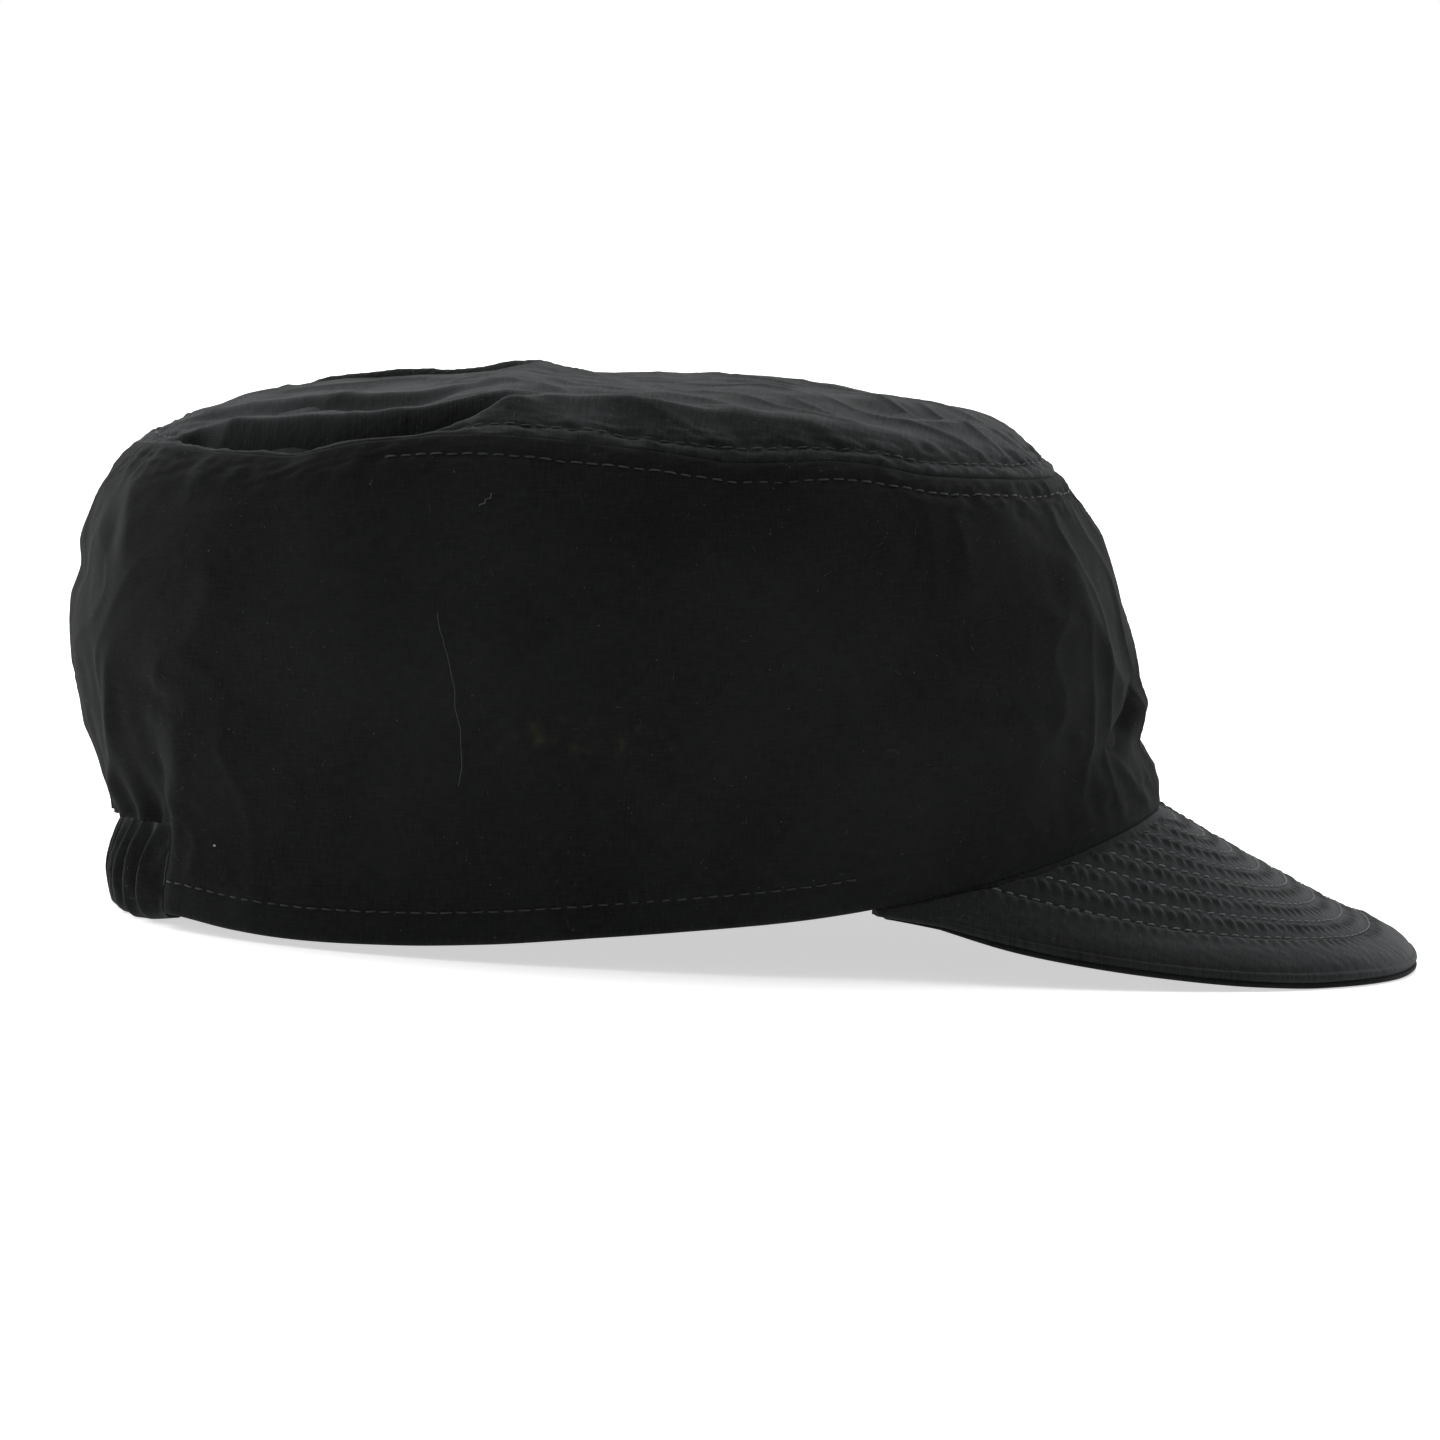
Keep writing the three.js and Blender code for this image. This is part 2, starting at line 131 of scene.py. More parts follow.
# Folds of the side wall: for each, points along its crest or bottom. The angle is in degrees
# from the front, plus to the wearer's left, and a dent has a height below 0.
WALL_FOLDS = groups(
    "angle share height width",
    ((-25, 0.92, 0.3, 6), (-28, 0.76, 1.4, 6), (-26, 0.62, 1.5, 5.5), (-22.5, 0.47, 1.4, 5),
     (-19, 0.40, 0.9, 4)),
    ((30, 0.88, 0.5, 7), (26, 0.62, 1.4, 8), (20, 0.32, 0.9, 7)),
    ((-9, 0.38, -0.5, 3), (-12.8, 0.35, -1.9, 3), (-16, 0.28, -2.7, 3.2), (-22, 0.235, -2.0, 3.2),
     (-30, 0.20, -0.4, 4)),
    ((-23.5, 0.20, 0.5, 3), (-21, 0.13, 1.1, 3), (-16.5, 0.03, 0.6, 3)),
    ((-10, 0.30, 1.2, 4.5), (0, 0.32, 1.6, 5), (14, 0.31, 1.2, 5)),
    ((-13, 0.19, -0.8, 4), (0, 0.20, -1.3, 4), (16, 0.20, -0.9, 4)),
    ((-52, 0.48, -0.2, 3.5), (-49, 0.464, -0.8, 3.5), (-44, 0.43, -1.4, 3.5),
     (-38.8, 0.39, -0.9, 3.5)),
    ((-145, 0.99, 0.4, 4), (-150, 0.95, 1.1, 4.5), (-150.5, 0.90, 1.3, 4.5),
     (-148.5, 0.83, 1.3, 4.5), (-147.6, 0.76, 0.9, 4.5), (-148.5, 0.67, 0.2, 5)),
    ((-149, 0.57, 0.3, 3), (-149.8, 0.52, 0.9, 3), (-151.5, 0.38, 1.6, 3), (-156, 0.27, 1.6, 3),
     (-160, 0.20, 0.9, 3)),
    ((-145, 0.49, -0.3, 2.6), (-141.5, 0.472, -1.1, 2.6), (-138, 0.46, -0.3, 2.6)),
    ((-141.5, 0.46, -0.5, 4), (-143, 0.41, -1.6, 4.5), (-144.5, 0.33, -2.8, 5),
     (-147, 0.24, -2.8, 5), (-148.5, 0.20, -2.2, 5)),
    ((144, 0.34, -0.9, 7), (148, 0.24, -1.8, 8)),
    ((162, 0.86, 0.6, 7), (159, 0.60, 1.4, 8), (156, 0.36, 0.6, 7)),
    ((166, 0.71, -0.5, 5), (178, 0.715, -1.5, 4.5), (190, 0.715, -1.6, 4.5), (203, 0.69, -0.4, 5)),
    ((-176, 0.92, 0.4, 6), (-172, 0.78, 1.4, 6), (-170, 0.60, 1.0, 7)),
    ((-120, 0.90, 0.2, 8), (-122, 0.66, 0.6, 9), (-118, 0.44, 0.5, 9)),
    ((-60, 0.80, 0.3, 8), (-64, 0.60, 0.7, 9), (-60, 0.40, 0.5, 8)),
    ((60, 0.84, 0.4, 8), (66, 0.62, 0.8, 9), (62, 0.36, 0.5, 8)),
    ((118, 0.88, 0.4, 8), (124, 0.62, 0.9, 9), (120, 0.38, 0.4, 8)),
    ((36, 0.36, -0.5, 5), (46, 0.40, -1.0, 5), (54, 0.44, -0.4, 5)),
    ((-136, 0.45, 0.3, 4), (-137.5, 0.41, 0.7, 4), (-139, 0.33, 0.9, 4), (-141.5, 0.25, 1.0, 4),
     (-143, 0.20, 0.8, 3.5)),
    ((-38, 0.66, 0.3, 3), (-35, 0.63, 0.9, 3), (-30, 0.59, 0.3, 3)),
    ((-36, 0.32, 0.2, 3.4), (-32.5, 0.29, 0.9, 3.4), (-29, 0.25, 0.3, 3.4)),
    ((-34, 0.20, 0.2, 3.2), (-30, 0.17, 0.8, 3.2), (-27, 0.11, 0.2, 3.2)),
    ((-15, 0.13, 0.5, 6), (-8, 0.09, 0.9, 6), (6, 0.09, 0.6, 6)),
    ((-155, 0.90, -0.3, 4), (-153.5, 0.80, -1.2, 4), (-153, 0.71, -0.5, 4)),
    ((-144, 0.945, 0.3, 2.4), (-139, 0.94, 1.0, 2.4), (-130, 0.925, 0.8, 2.6),
     (-121, 0.93, 0.2, 2.6)),
    ((-141, 0.89, 0.2, 3), (-135, 0.885, 0.9, 3), (-126, 0.89, 0.3, 3)),
    ((-143, 0.915, -0.6, 2.4), (-135, 0.91, -0.9, 2.4), (-126, 0.91, -0.6, 2.4),
     (-118, 0.915, -0.2, 2.6)),
    ((-140, 0.975, 0.2, 2.2), (-134, 0.965, 0.9, 2.2), (-127, 0.97, 0.8, 2.2),
     (-119, 0.96, 0.2, 2.4)),
    ((-135, 0.80, 0.2, 4), (-133, 0.70, 0.8, 4), (-136, 0.58, 0.5, 4)),
)

# Folds of the crown: for each, points along its crest or bottom in plan.
CROWN_FOLDS = groups(
    "x y height width",
    ((-25, -40, 0.8, 7), (-23.5, -10, 1.2, 7), (-23, 26, 1.5, 6), (-23, 48, 1.5, 6)),
    ((-8, 34, -1.5, 30), (12, 34, -1.7, 32), (36, 34, -0.6, 28)),
    ((-31, -68, 0.6, 4), (-24, -65, 2.2, 4.5), (-13.5, -63, 1.4, 4.5), (1.5, -65, 2.4, 4.5),
     (11, -65, 1.5, 4.5), (22, -65, 1.6, 4.5), (33.5, -63, 1.8, 4.5), (45, -58, 1.5, 4.5),
     (56, -49, 1.1, 4), (65, -35, 1.0, 4), (71, -25, 0.5, 4)),
    ((-18, -54, -0.8, 5), (-4, -56, -1.3, 5), (14, -55, -0.7, 6), (30, -53, -0.8, 6),
     (44, -47, -0.5, 5)),
    ((44, -46, 0.3, 4), (56, -36, 1.5, 3.5), (65, -22, 1.1, 4), (70, -8, 0.4, 4)),
    ((40, -40, -0.3, 4), (50, -28, -1.8, 4), (60, -14, -1.0, 5), (66, 0, -0.3, 5)),
    ((38, -36, 0.3, 4), (44, -22, 0.9, 5), (46, -6, 0.3, 5)),
    ((10, -40, 0.2, 8), (24, -30, 0.9, 9), (40, -26, 0.3, 8)),
    ((-10, 40, 0.3, 9), (10, 34, 1.1, 9), (34, 38, 0.4, 9)),
    ((20, 14, -0.4, 8), (36, 20, -1.0, 8), (50, 30, -0.4, 8)),
    ((-52, 62, -0.4, 8), (-34, 54, -1.4, 8), (-16, 58, -0.4, 8)),
)

# The pleats at the back of the crown: heights along lines that run from the back to the pinch
# above the ear, from the near seam to the far side. The crown passes smoothly from one to the next.
CROWN_PLEATS = groups(
    "x y z",
    ((-84, -42, 89.4), (-76, -51, 89.6), (-66, -58.5, 90.1), (-56, -63.5, 92.6),
     (-45, -67.5, 95.0), (-37, -68.5, 96.9), (-31, -68, 99.6), (-26, -67, 102.2)),
    ((-84, -37, 88.5), (-76, -46, 87.0), (-66, -54, 86.0), (-56, -59, 86.5), (-45, -62.5, 88.0),
     (-37, -63.5, 91.0), (-31, -63.8, 96.0), (-26, -63.5, 101.0)),
    ((-84, -33, 92.8), (-76, -41.5, 95.3), (-66, -49, 96.7), (-51, -55, 98.3), (-42, -58, 100.2),
     (-34, -59.5, 102.0), (-27, -60, 103.4)),
    ((-84, -27, 92.6), (-76, -35, 94.9), (-66, -42, 96.2), (-51, -48, 97.6), (-42, -51, 99.5),
     (-34, -53, 101.8), (-27, -54, 103.4)),
    ((-82, -22, 93.6), (-66, -31, 96.2), (-52, -37, 97.6), (-43, -40, 99.5), (-35, -41, 102.4),
     (-28, -42, 104.0)),
    ((-82, -15, 95.4), (-66, -25.5, 99.4), (-52, -32, 101.4), (-43, -35, 102.6),
     (-35, -36.5, 104.0), (-28, -37, 104.8)),
    ((-82, -6, 95.4), (-66, -14, 99.2), (-52, -20, 101.0), (-43, -22, 102.4), (-35, -24, 103.8),
     (-28, -24, 104.8)),
    ((-80, 8, 96.8), (-62, 0, 100.8), (-46, -6, 103.0), (-34, -8, 104.4), (-27, -8, 105.0)),
    ((-72, 30, 98.0), (-62, 41, 98.4), (-52, 43.4, 98.9), (-42, 43.8, 100.3), (-30, 42, 103.0)),
    ((-72, 33, 98.6), (-62, 43.5, 100.4), (-52, 45.6, 102.0), (-42, 46, 103.2),
     (-30, 44.2, 104.6)),
)
PLEAT_HOLD = 0.05
PLEAT_END = 9
PLEAT_APART = 0.8
PLEAT_FADE = 14


def curve(xs, ys):
    """A smooth curve through the rows of a table, which never swings past them."""
    step = np.diff(xs)
    rate = np.diff(ys) / step
    slope = np.zeros(len(xs))
    slope[0], slope[-1] = rate[0], rate[-1]
    for k in range(1, len(xs) - 1):
        if rate[k - 1] * rate[k] > 0:
            before = 2 * step[k] + step[k - 1]
            after = step[k] + 2 * step[k - 1]
            slope[k] = (before + after) / (before / rate[k - 1] + after / rate[k])

    def at(where):
        x = np.clip(where, xs[0], xs[-1])
        k = np.clip(np.searchsorted(xs, x, side="right") - 1, 0, len(step) - 1)
        t = (x - xs[k]) / step[k]
        return (ys[k] * (1 + 2 * t) * (1 - t) ** 2 + slope[k] * step[k] * t * (1 - t) ** 2
                + ys[k + 1] * t * t * (3 - 2 * t) + slope[k + 1] * step[k] * t * t * (t - 1))

    return at


def curve_of(rows, x, y):
    return curve(rows[x], rows[y])


wall_front = curve_of(WALL_SECTIONS, "share", "front")
wall_back = curve_of(WALL_SECTIONS, "share", "back")
wall_half = curve_of(WALL_SECTIONS, "share", "half")
rim_height = curve_of(RIM_HEIGHTS, "x", "z")
seam_height = curve_of(SEAM_HEIGHTS, "x", "z")
seam_dip = curve_of(SEAM_DIPS, "x", "dip")
crown_height = curve_of(CROWN_HEIGHTS, "x", "z")
peak_rise = curve_of(PEAK_RISES, "share", "rise")
casing_out = curve_of(CASING_PROFILE, "share", "out")


def lerp(a, b, t):
    return a + (b - a) * t


def clamp(x):
    return np.clip(x, 0, 1)


def smooth(low, high, x):
    t = clamp((x - low) / (high - low))
    return t * t * (3 - 2 * t)


def hump(x, width):
    return np.exp(-((x / width) ** 2))


def noise(u, v, seed, around=256):
    """Smooth noise between -1 and 1 with features of one unit. It repeats every `around` in u."""
    size = 256
    turn = np.random.default_rng(seed).uniform(0, TURN, (size, size))
    ku, kv = np.floor(u).astype(int), np.floor(v).astype(int)
    fu, fv = u - ku, v - kv

    def corner(du, dv):
        a = turn[(ku + du) % around, (kv + dv) % size]
        return np.cos(a) * (fu - du) + np.sin(a) * (fv - dv)

    su, sv = (f ** 3 * (f * (f * 6 - 15) + 10) for f in (fu, fv))
    return 1.5 * lerp(lerp(corner(0, 0), corner(1, 0), su), lerp(corner(0, 1), corner(1, 1), su), sv)


def oval(angle, front, back, half, front_power, back_power):
    """A point of an oval with unlike front and back reaches, at an angle from the front."""
    c, s = np.cos(angle), np.sin(angle)
    power = np.where(c > 0, front_power, back_power)
    r = (np.abs(c) ** power + np.abs(s) ** power) ** (-1 / power)
    return np.where(c > 0, front, back) * c * r, half * s * r


def wall_oval(angle, share, depth=0.0):
    """A point of the wall's plain oval, at a depth under its outer face."""
    return oval(angle, wall_front(share) - depth, wall_back(share) - depth, wall_half(share) - depth,
                FRONT_POWER, BACK_POWER)


def fold_push(folds, across, along, u, v, scale=(1, 1)):
    """The push of all folds at (u, v): each fades smoothly beside the line through its points."""
    push = np.zeros(np.shape(u))
    for rows in folds:
        nearest, height = np.full(np.shape(u), np.inf), np.zeros(np.shape(u))
        us, vs = rows[across] * scale[0], rows[along] * scale[1]
        for k in range(len(us) - 1):
            du, dv = us[k + 1] - us[k], vs[k + 1] - vs[k]
            t = clamp(((u - us[k]) * du + (v - vs[k]) * dv) / (du ** 2 + dv ** 2))
            away = np.hypot(u - us[k] - du * t, v - vs[k] - dv * t)
            away = away / lerp(rows["width"][k], rows["width"][k + 1], t)
            closer = away < nearest
            nearest = np.where(closer, away, nearest)
            height = np.where(closer, lerp(rows["height"][k], rows["height"][k + 1], t), height)
        push += height * np.exp(-nearest ** np.where(height > 0, RIDGE_POWER, DENT_POWER))
    return push


def seam_line(x, y):
    """The height of the seam at its place: on the wearer's right it dips and rises a little."""
    return seam_height(x) + seam_dip(x) * smooth(0, -35, y)


def wall_point(angle, share):
    """A point of the side wall, with its folds."""
    x, y = wall_oval(angle, share)
    rim_x = wall_oval(angle, 0 * share)[0]
    past_casing = np.degrees(np.abs(np.angle(-np.exp(1j * angle)))) - CASING_HALF_ANGLE
    foot = rim_height(rim_x) + HEM_LIFT * hump(past_casing - HEM_LIFT_PAST, HEM_LIFT_WIDTH)
    top = seam_line(*wall_oval(angle, 0 * share + 1))
    scale = (np.radians(1) * FOLD_RADIUS, WALL_HEIGHT)
    push = sum(fold_push(WALL_FOLDS, "angle", "share", (angle + turn) * FOLD_RADIUS,
                         share * WALL_HEIGHT, scale) for turn in (-TURN, 0, TURN))
    push = push * np.sqrt(1 - share ** 6) * clamp(share / FOLD_HOLD)
    return np.stack([x + push * np.cos(angle), y + push * np.sin(angle), lerp(foot, top, share)], -1)


def dome_height(x, seam, share):
    """The height of the crown without its folds."""
    return seam + (crown_height(x) - seam) * (1 - share ** CROWN_POWER)


def plan_share(x, y):
    """How far out places in the crown's plan lie, from 0 in its middle to 1 at its seam, and
    where the seam is beside them."""
    rounds, share = 14, np.full(np.shape(x), 0.8)
    for _ in range(rounds):
        seam_x, seam_y = CROWN_MIDDLE + (x - CROWN_MIDDLE) / share, y / share
        reach = np.where(seam_x > 0, wall_front(1.0), wall_back(1.0))
        power = np.where(seam_x > 0, FRONT_POWER, BACK_POWER)
        total = (np.abs(seam_x) / reach) ** power + (np.abs(seam_y) / wall_half(1.0)) ** power
        share = share * total ** (1 / power)
    return share, seam_x, seam_y


def pleat_lines():
    """For each pleat line its course in plan, its push from the plain dome and its two ends."""
    lines = []
    for rows in CROWN_PLEATS:
        x, y, z = rows["x"], rows["y"], rows["z"]
        share, seam_x, seam_y = plan_share(x, y)
        push = z - dome_height(x, seam_line(seam_x, seam_y), share)
        lines.append((curve(x, y), curve(x, push), x[0], x[-1]))
    return lines


def pleat_push(x, y):
    """The push of the pleats: it passes smoothly from each line to the next, and fades beyond."""
    total, before = None, None
    for course, push, back, front in pleat_lines():
        ends = smooth(back - PLEAT_END, back + 1, x) * smooth(front + PLEAT_END, front - 1, x)
        here = push(x) * ends
        if total is None:
            total, before = here, course(x)
            continue
        after = np.maximum(course(x), before + PLEAT_APART)
        total, before = lerp(total, here, smooth(before, after, y)), after
    return total * (1 - smooth(before, before + PLEAT_FADE, y))


def crown_point(angle, share):
    """A point of the crown, with its folds and pleats: share 0 in its middle, 1 at its seam."""
    seam_x, seam_y = wall_oval(angle, 0 * share + 1)
    x, y = lerp(CROWN_MIDDLE, seam_x, share), seam_y * share
    push = fold_push(CROWN_FOLDS, "x", "y", x, y) * clamp((1 - share) / SEAM_HOLD)
    push += pleat_push(x, y) * smooth(0, PLEAT_HOLD, 1 - share)
    return np.stack([x, y, dome_height(x, seam_line(seam_x, seam_y), share) + push], -1)


corner_x, corner_y = (float(v) for v in wall_oval(np.radians(PEAK_CORNER_ANGLE), np.array(0.0)))
corner_z = float(rim_height(np.array(corner_x))) - GAP - PEAK_CORNER_CLOTH
peak_height = curve(np.r_[0, PEAK_HEIGHTS["share"]], np.r_[corner_z, PEAK_HEIGHTS["z"]])


def from_corner(angle):
    """The degrees between a place on the peak and its nearer corner."""
    return PEAK_CORNER_ANGLE - np.abs(np.degrees(angle))


def peak_cloth(angle):
    """The thickness of the peak's upper cloth, which tapers towards both corners."""
    return lerp(PEAK_CORNER_CLOTH, PEAK_CLOTH, clamp(from_corner(angle) / CORNER_TAPER))


def peak_point(angle, share):
    """A point of the peak's upper face: share 0 at the seam with the wall, 1 at the outer edge."""
    seam_x, seam_y = wall_oval(angle, 0 * share)
    seam_z = rim_height(seam_x) - GAP
    length = PEAK_REACH - corner_x
    turn = angle / np.radians(PEAK_CORNER_ANGLE) * (np.pi / 2)
    past_corner, edge_y = oval(turn, length, length, corner_y, PEAK_POWER, PEAK_POWER)
    tip = clamp(past_corner / length)
    under = (GAP + UNDER_CLOTH) * clamp(tip / UNDER_TAPER)
    edge_z = peak_height(tip) + under + peak_cloth(angle)
    return np.stack([lerp(seam_x, corner_x + past_corner, share), lerp(seam_y, edge_y, share),
                     lerp(seam_z, edge_z, share) + peak_rise(share) * tip], -1)


def unit(vectors):
    return vectors / np.maximum(np.linalg.norm(vectors, axis=-1, keepdims=True), 1e-12)


def normals(grid, loop):
    """The outward normals of a grid whose columns run anticlockwise and rows run up."""
    if loop:
        across = np.roll(grid, -1, 0) - np.roll(grid, 1, 0)
    else:
        across = np.gradient(grid, axis=0)
    return unit(np.cross(across, np.gradient(grid, axis=1)))


def run_along(grid):
    """The distance up each column of a grid from its first row."""
    step = np.linalg.norm(np.diff(grid, axis=1), axis=-1)
    return np.concatenate([np.zeros((len(grid), 1)), np.cumsum(step, 1)], 1)


# Where the middle of the head opening lies in the frame, from the tip of the CAD's peak.
OPENING_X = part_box("peak_top")[1].x / MM - PEAK_REACH


def link(name, data):
    """An object in the scene for a mesh, a light or a camera."""
    piece = bpy.data.objects.new(name, data)
    bpy.context.scene.collection.objects.link(piece)
    return piece


def make_mesh(name, points, faces, corners_uv=None, flat_faces=0):
    """A smooth-shaded mesh object from points in millimetres around the opening. Its uv is 0
    where none is given, as on threads."""
    mesh = bpy.data.meshes.new(name)
    places = (np.asarray(points, float) + (OPENING_X, 0, 0)) * MM
    mesh.from_pydata(places.tolist(), [], faces)
    is_smooth = np.ones(len(faces), bool)
    if flat_faces:
        is_smooth[-flat_faces:] = False
    mesh.polygons.foreach_set("use_smooth", is_smooth)
    layer = mesh.uv_layers.new(name="cloth")
    if corners_uv is None:
        corners_uv = np.zeros((len(mesh.loops), 2))
    layer.data.foreach_set("uv", np.asarray(corners_uv, np.float32).ravel())
    mesh.validate()
    mesh.update()
    return link(name, mesh)


def quads_between(i, k, columns, ring_uv):
    """Faces and their uv between neighbouring columns i and rows k of a grid's rings."""
    count = ring_uv.shape[1]
    corners = [(i, k), (i + 1, k), (i + 1, (k + 1) % count), (i, (k + 1) % count)]
    quads = np.stack([(a % columns) * count + b for a, b in corners], 1)
    quad_uv = np.stack([ring_uv[a, b] for a, b in corners], 1).reshape(-1, 2)
    return quads.tolist(), quad_uv


def shell(name, outer, inner, uv, loop, head=None, foot=None, cut=None):
    """A closed cloth: an outer and an inner grid with the same columns, joined by the head rows
    at the top and the foot rows at the bottom. The uv is of the outer grid, a column longer on a
    loop. A cut (first column, last column, outer row, inner row) leaves out what is below."""
    parts = [outer, head, inner[:, ::-1], foot]
    rings = np.concatenate([part for part in parts if part is not None], 1)
    columns, count = rings.shape[:2]
    outer_rows, inner_rows = outer.shape[1], inner.shape[1]
    head_rows = 0 if head is None else head.shape[1]
    top = np.repeat(uv[:, -1:], head_rows, 1)
    pick = np.linspace(uv.shape[1] - 1, 0, inner_rows).round().astype(int)
    rest = count - outer_rows - head_rows - inner_rows
    ring_uv = np.concatenate([uv, top, uv[:, pick], np.repeat(uv[:, :1], rest, 1)], 1)
    spans = columns if loop else columns - 1
    i, k = np.meshgrid(np.arange(spans), np.arange(count), indexing="ij")
    is_kept = np.ones(i.shape, bool)
    extra = []
    if cut:
        first, last, outer_row, inner_row = cut
        inner_at = outer_rows + head_rows + inner_rows - 1 - inner_row
        is_cut = (i >= first) & (i < last)
        is_kept &= ~(is_cut & ((k < outer_row) | (k >= inner_at)))
        for c in range(first, last):
            extra.append([(c, inner_at), (c + 1, inner_at), (c + 1, outer_row), (c, outer_row)])
        below = list(range(inner_at, count)) + list(range(outer_row + 1))
        extra.append([(first, b) for b in below])
        extra.append([(last, b) for b in reversed(below)])
    if not loop:
        extra.append([(0, b) for b in range(count)][::-1])
        extra.append([(columns - 1, b) for b in range(count)])
    quads, quad_uv = quads_between(i[is_kept], k[is_kept], columns, ring_uv)
    faces = quads + [[(a % columns) * count + b for a, b in face] for face in extra]
    more_uv = [ring_uv[a, b] for face in extra for a, b in face]
    corners_uv = np.concatenate([quad_uv, np.array(more_uv).reshape(-1, 2)])
    return make_mesh(name, rings.reshape(-1, 3), faces, corners_uv, len(extra))


def on_row(grid, normal, distance, target, along=None):
    """The line along which a distance over the grid has the target value: its points, their
    normals and how far along the line each is."""
    points, ups, run = [], [], []
    for column in range(len(grid)):
        d = distance[column]
        crossing = np.nonzero((d[:-1] - target) * (d[1:] - target) <= 0)[0]
        if not len(crossing):
            continue
        k = crossing[0]
        t = (target - d[k]) / (d[k + 1] - d[k]) if d[k + 1] != d[k] else 0.0
        points.append(lerp(grid[column, k], grid[column, k + 1], t))
        ups.append(lerp(normal[column, k], normal[column, k + 1], t))
        if along is not None:
            run.append(lerp(along[column, k], along[column, k + 1], t))
    points = np.array(points)
    if along is None:
        run = np.r_[0, np.cumsum(np.linalg.norm(np.diff(points, axis=0), axis=1))]
    return points, unit(np.array(ups)), np.maximum.accumulate(run)


def along_line(points, ups, run, pitch):
    """The middles of equal steps along a line: centres, tangents and normals."""
    at = (np.arange(math.ceil(run[0] / pitch), math.floor(run[-1] / pitch)) + 0.5) * pitch

    def sample(values, where):
        return np.stack([np.interp(where, run, values[:, axis]) for axis in range(3)], -1)

    centre = sample(points, at)
    tangent = unit(sample(points, at + 0.3 * pitch) - sample(points, at - 0.3 * pitch))
    return centre, tangent, unit(sample(ups, at))


# Threads, and the stitches that are sewn with them
THREAD = 0.30
THREAD_SIDES = 7
STITCH_PITCH = 2.9
STITCH_FILL = 0.78
STITCH_RINGS = 7
STITCH_SUNK = 0.34
STITCH_LIFT = 0.02


def tubes(name, spine, side, up, radius, sides):
    """Threads as one mesh of closed tubes, with rings of points around each thread's spine. The
    first two axes of every array are the threads and the rings."""
    a = np.linspace(0, TURN, sides, endpoint=False)[:, None]
    points = spine[:, :, None] + (side[:, :, None] * np.cos(a) + up[:, :, None] * np.sin(a)) * radius
    ring = np.arange(spine.shape[1] * sides).reshape(-1, sides)
    after = np.roll(ring, -1, 1)
    quads = np.stack([ring[:-1], after[:-1], after[1:], ring[1:]], -1).reshape(-1, 4)
    faces = [*quads.tolist(), ring[0][::-1].tolist(), ring[-1].tolist()]
    starts = range(0, len(spine) * ring.size, ring.size)
    faces = [[start + corner for corner in face] for start in starts for face in faces]
    return make_mesh(name, points.reshape(-1, 3), faces)


def stitches(name, lines, seed, pitch=STITCH_PITCH, fill=STITCH_FILL):
    """Sewn rows as one mesh: short threads that rise from the cloth and dip back into it."""
    random = np.random.default_rng(seed)
    places = [along_line(points, ups, run, pitch) for points, ups, run in lines]
    centre, tangent, up = (np.concatenate([place[n] for place in places]) for n in range(3))
    count = len(centre)
    askew = random.normal(0, 0.05, count)[:, None]
    tangent = unit(tangent + np.cross(up, tangent) * askew)
    side = unit(np.cross(up, tangent))
    t = np.linspace(-1, 1, STITCH_RINGS)[:, None]
    length = (pitch * fill * random.uniform(0.9, 1.08, count))[:, None, None]
    radius = THREAD / 2 * np.sqrt(np.clip(1 - np.abs(t) ** 5, 0.02, 1))
    sunk = STITCH_SUNK * clamp(noise(np.arange(count) / 6, np.full(count, 0.5), seed + 3))
    lift = THREAD * (0.62 - t ** 4) + STITCH_LIFT - sunk[:, None, None]
    spine = centre[:, None] + tangent[:, None] * (t * length / 2) + up[:, None] * lift
    return tubes(name, spine, side[:, None], up[:, None], radius[None, :, None], THREAD_SIDES)


# The camera: the photograph's angle, above the floor. PIXEL is the real size of a pixel.
IMAGE = 1440
PIXEL = 0.193
CAMERA_DISTANCE = 1600.0
CAMERA_RISE = math.radians(5.0)
CAMERA_ROLL = math.radians(3.05)
CAMERA_AIM = Vector((-5.9, 0.0, 40.0))
SENSOR = 36.0


def place_camera():
    forward = Vector((0, math.cos(CAMERA_RISE), -math.sin(CAMERA_RISE)))
    level = Vector((1, 0, 0))
    up = level.cross(forward)
    right = level * math.cos(CAMERA_ROLL) + up * math.sin(CAMERA_ROLL)
    up = up * math.cos(CAMERA_ROLL) - level * math.sin(CAMERA_ROLL)
    data = bpy.data.cameras.new("camera")
    data.sensor_width = SENSOR
    data.lens = CAMERA_DISTANCE / PIXEL / IMAGE * SENSOR
    data.clip_start, data.clip_end = 0.05, 50.0
    camera = link("camera", data)
    turn = Matrix((right, up, -forward)).transposed().to_4x4()
    camera.matrix_world = Matrix.Translation((CAMERA_AIM - forward * CAMERA_DISTANCE) * MM) @ turn
    bpy.context.scene.camera = camera


# The side wall
ROLL_STEPS = 5
HEM_ROW = 6.4
SEAM_ROW = 4.2
SEAM_ROW_END = 180
SEAM_ROW_START = 243
CROWN_ROW = 3.6
SEAM_ROW_DENT = 0.40
HEM_ROW_DENT = 0.30
CROWN_ROW_DENT = 0.42
ROW_DENT_WIDTH = 1.0
HEM_STEP = 0.35
HEM_PUCKER = 0.28
HEM_PUCKER_REACH = 3.5
GROOVE_AT_BACK = 0.20
GROOVE_IN_FRONT = 0.45
GROOVE_WIDTH = 1.3
SEAM_PUCKER = 0.60
CROWN_PUCKER = 0.75
PUCKER_REACH = 4.5
SEAM_EDGE = 1.2
CREASE_POWER = 5
GATHER_DEPTH = 0.75
GATHER_FADE = 9
WALL_LAYERS = ((0.50, 22, 30, 11), (0.28, 46, 15, 12), (0.10, 120, 6, 13))
CROWN_LAYERS = ((0.55, 24, 31), (0.35, 12, 32), (0.10, 4.5, 33))


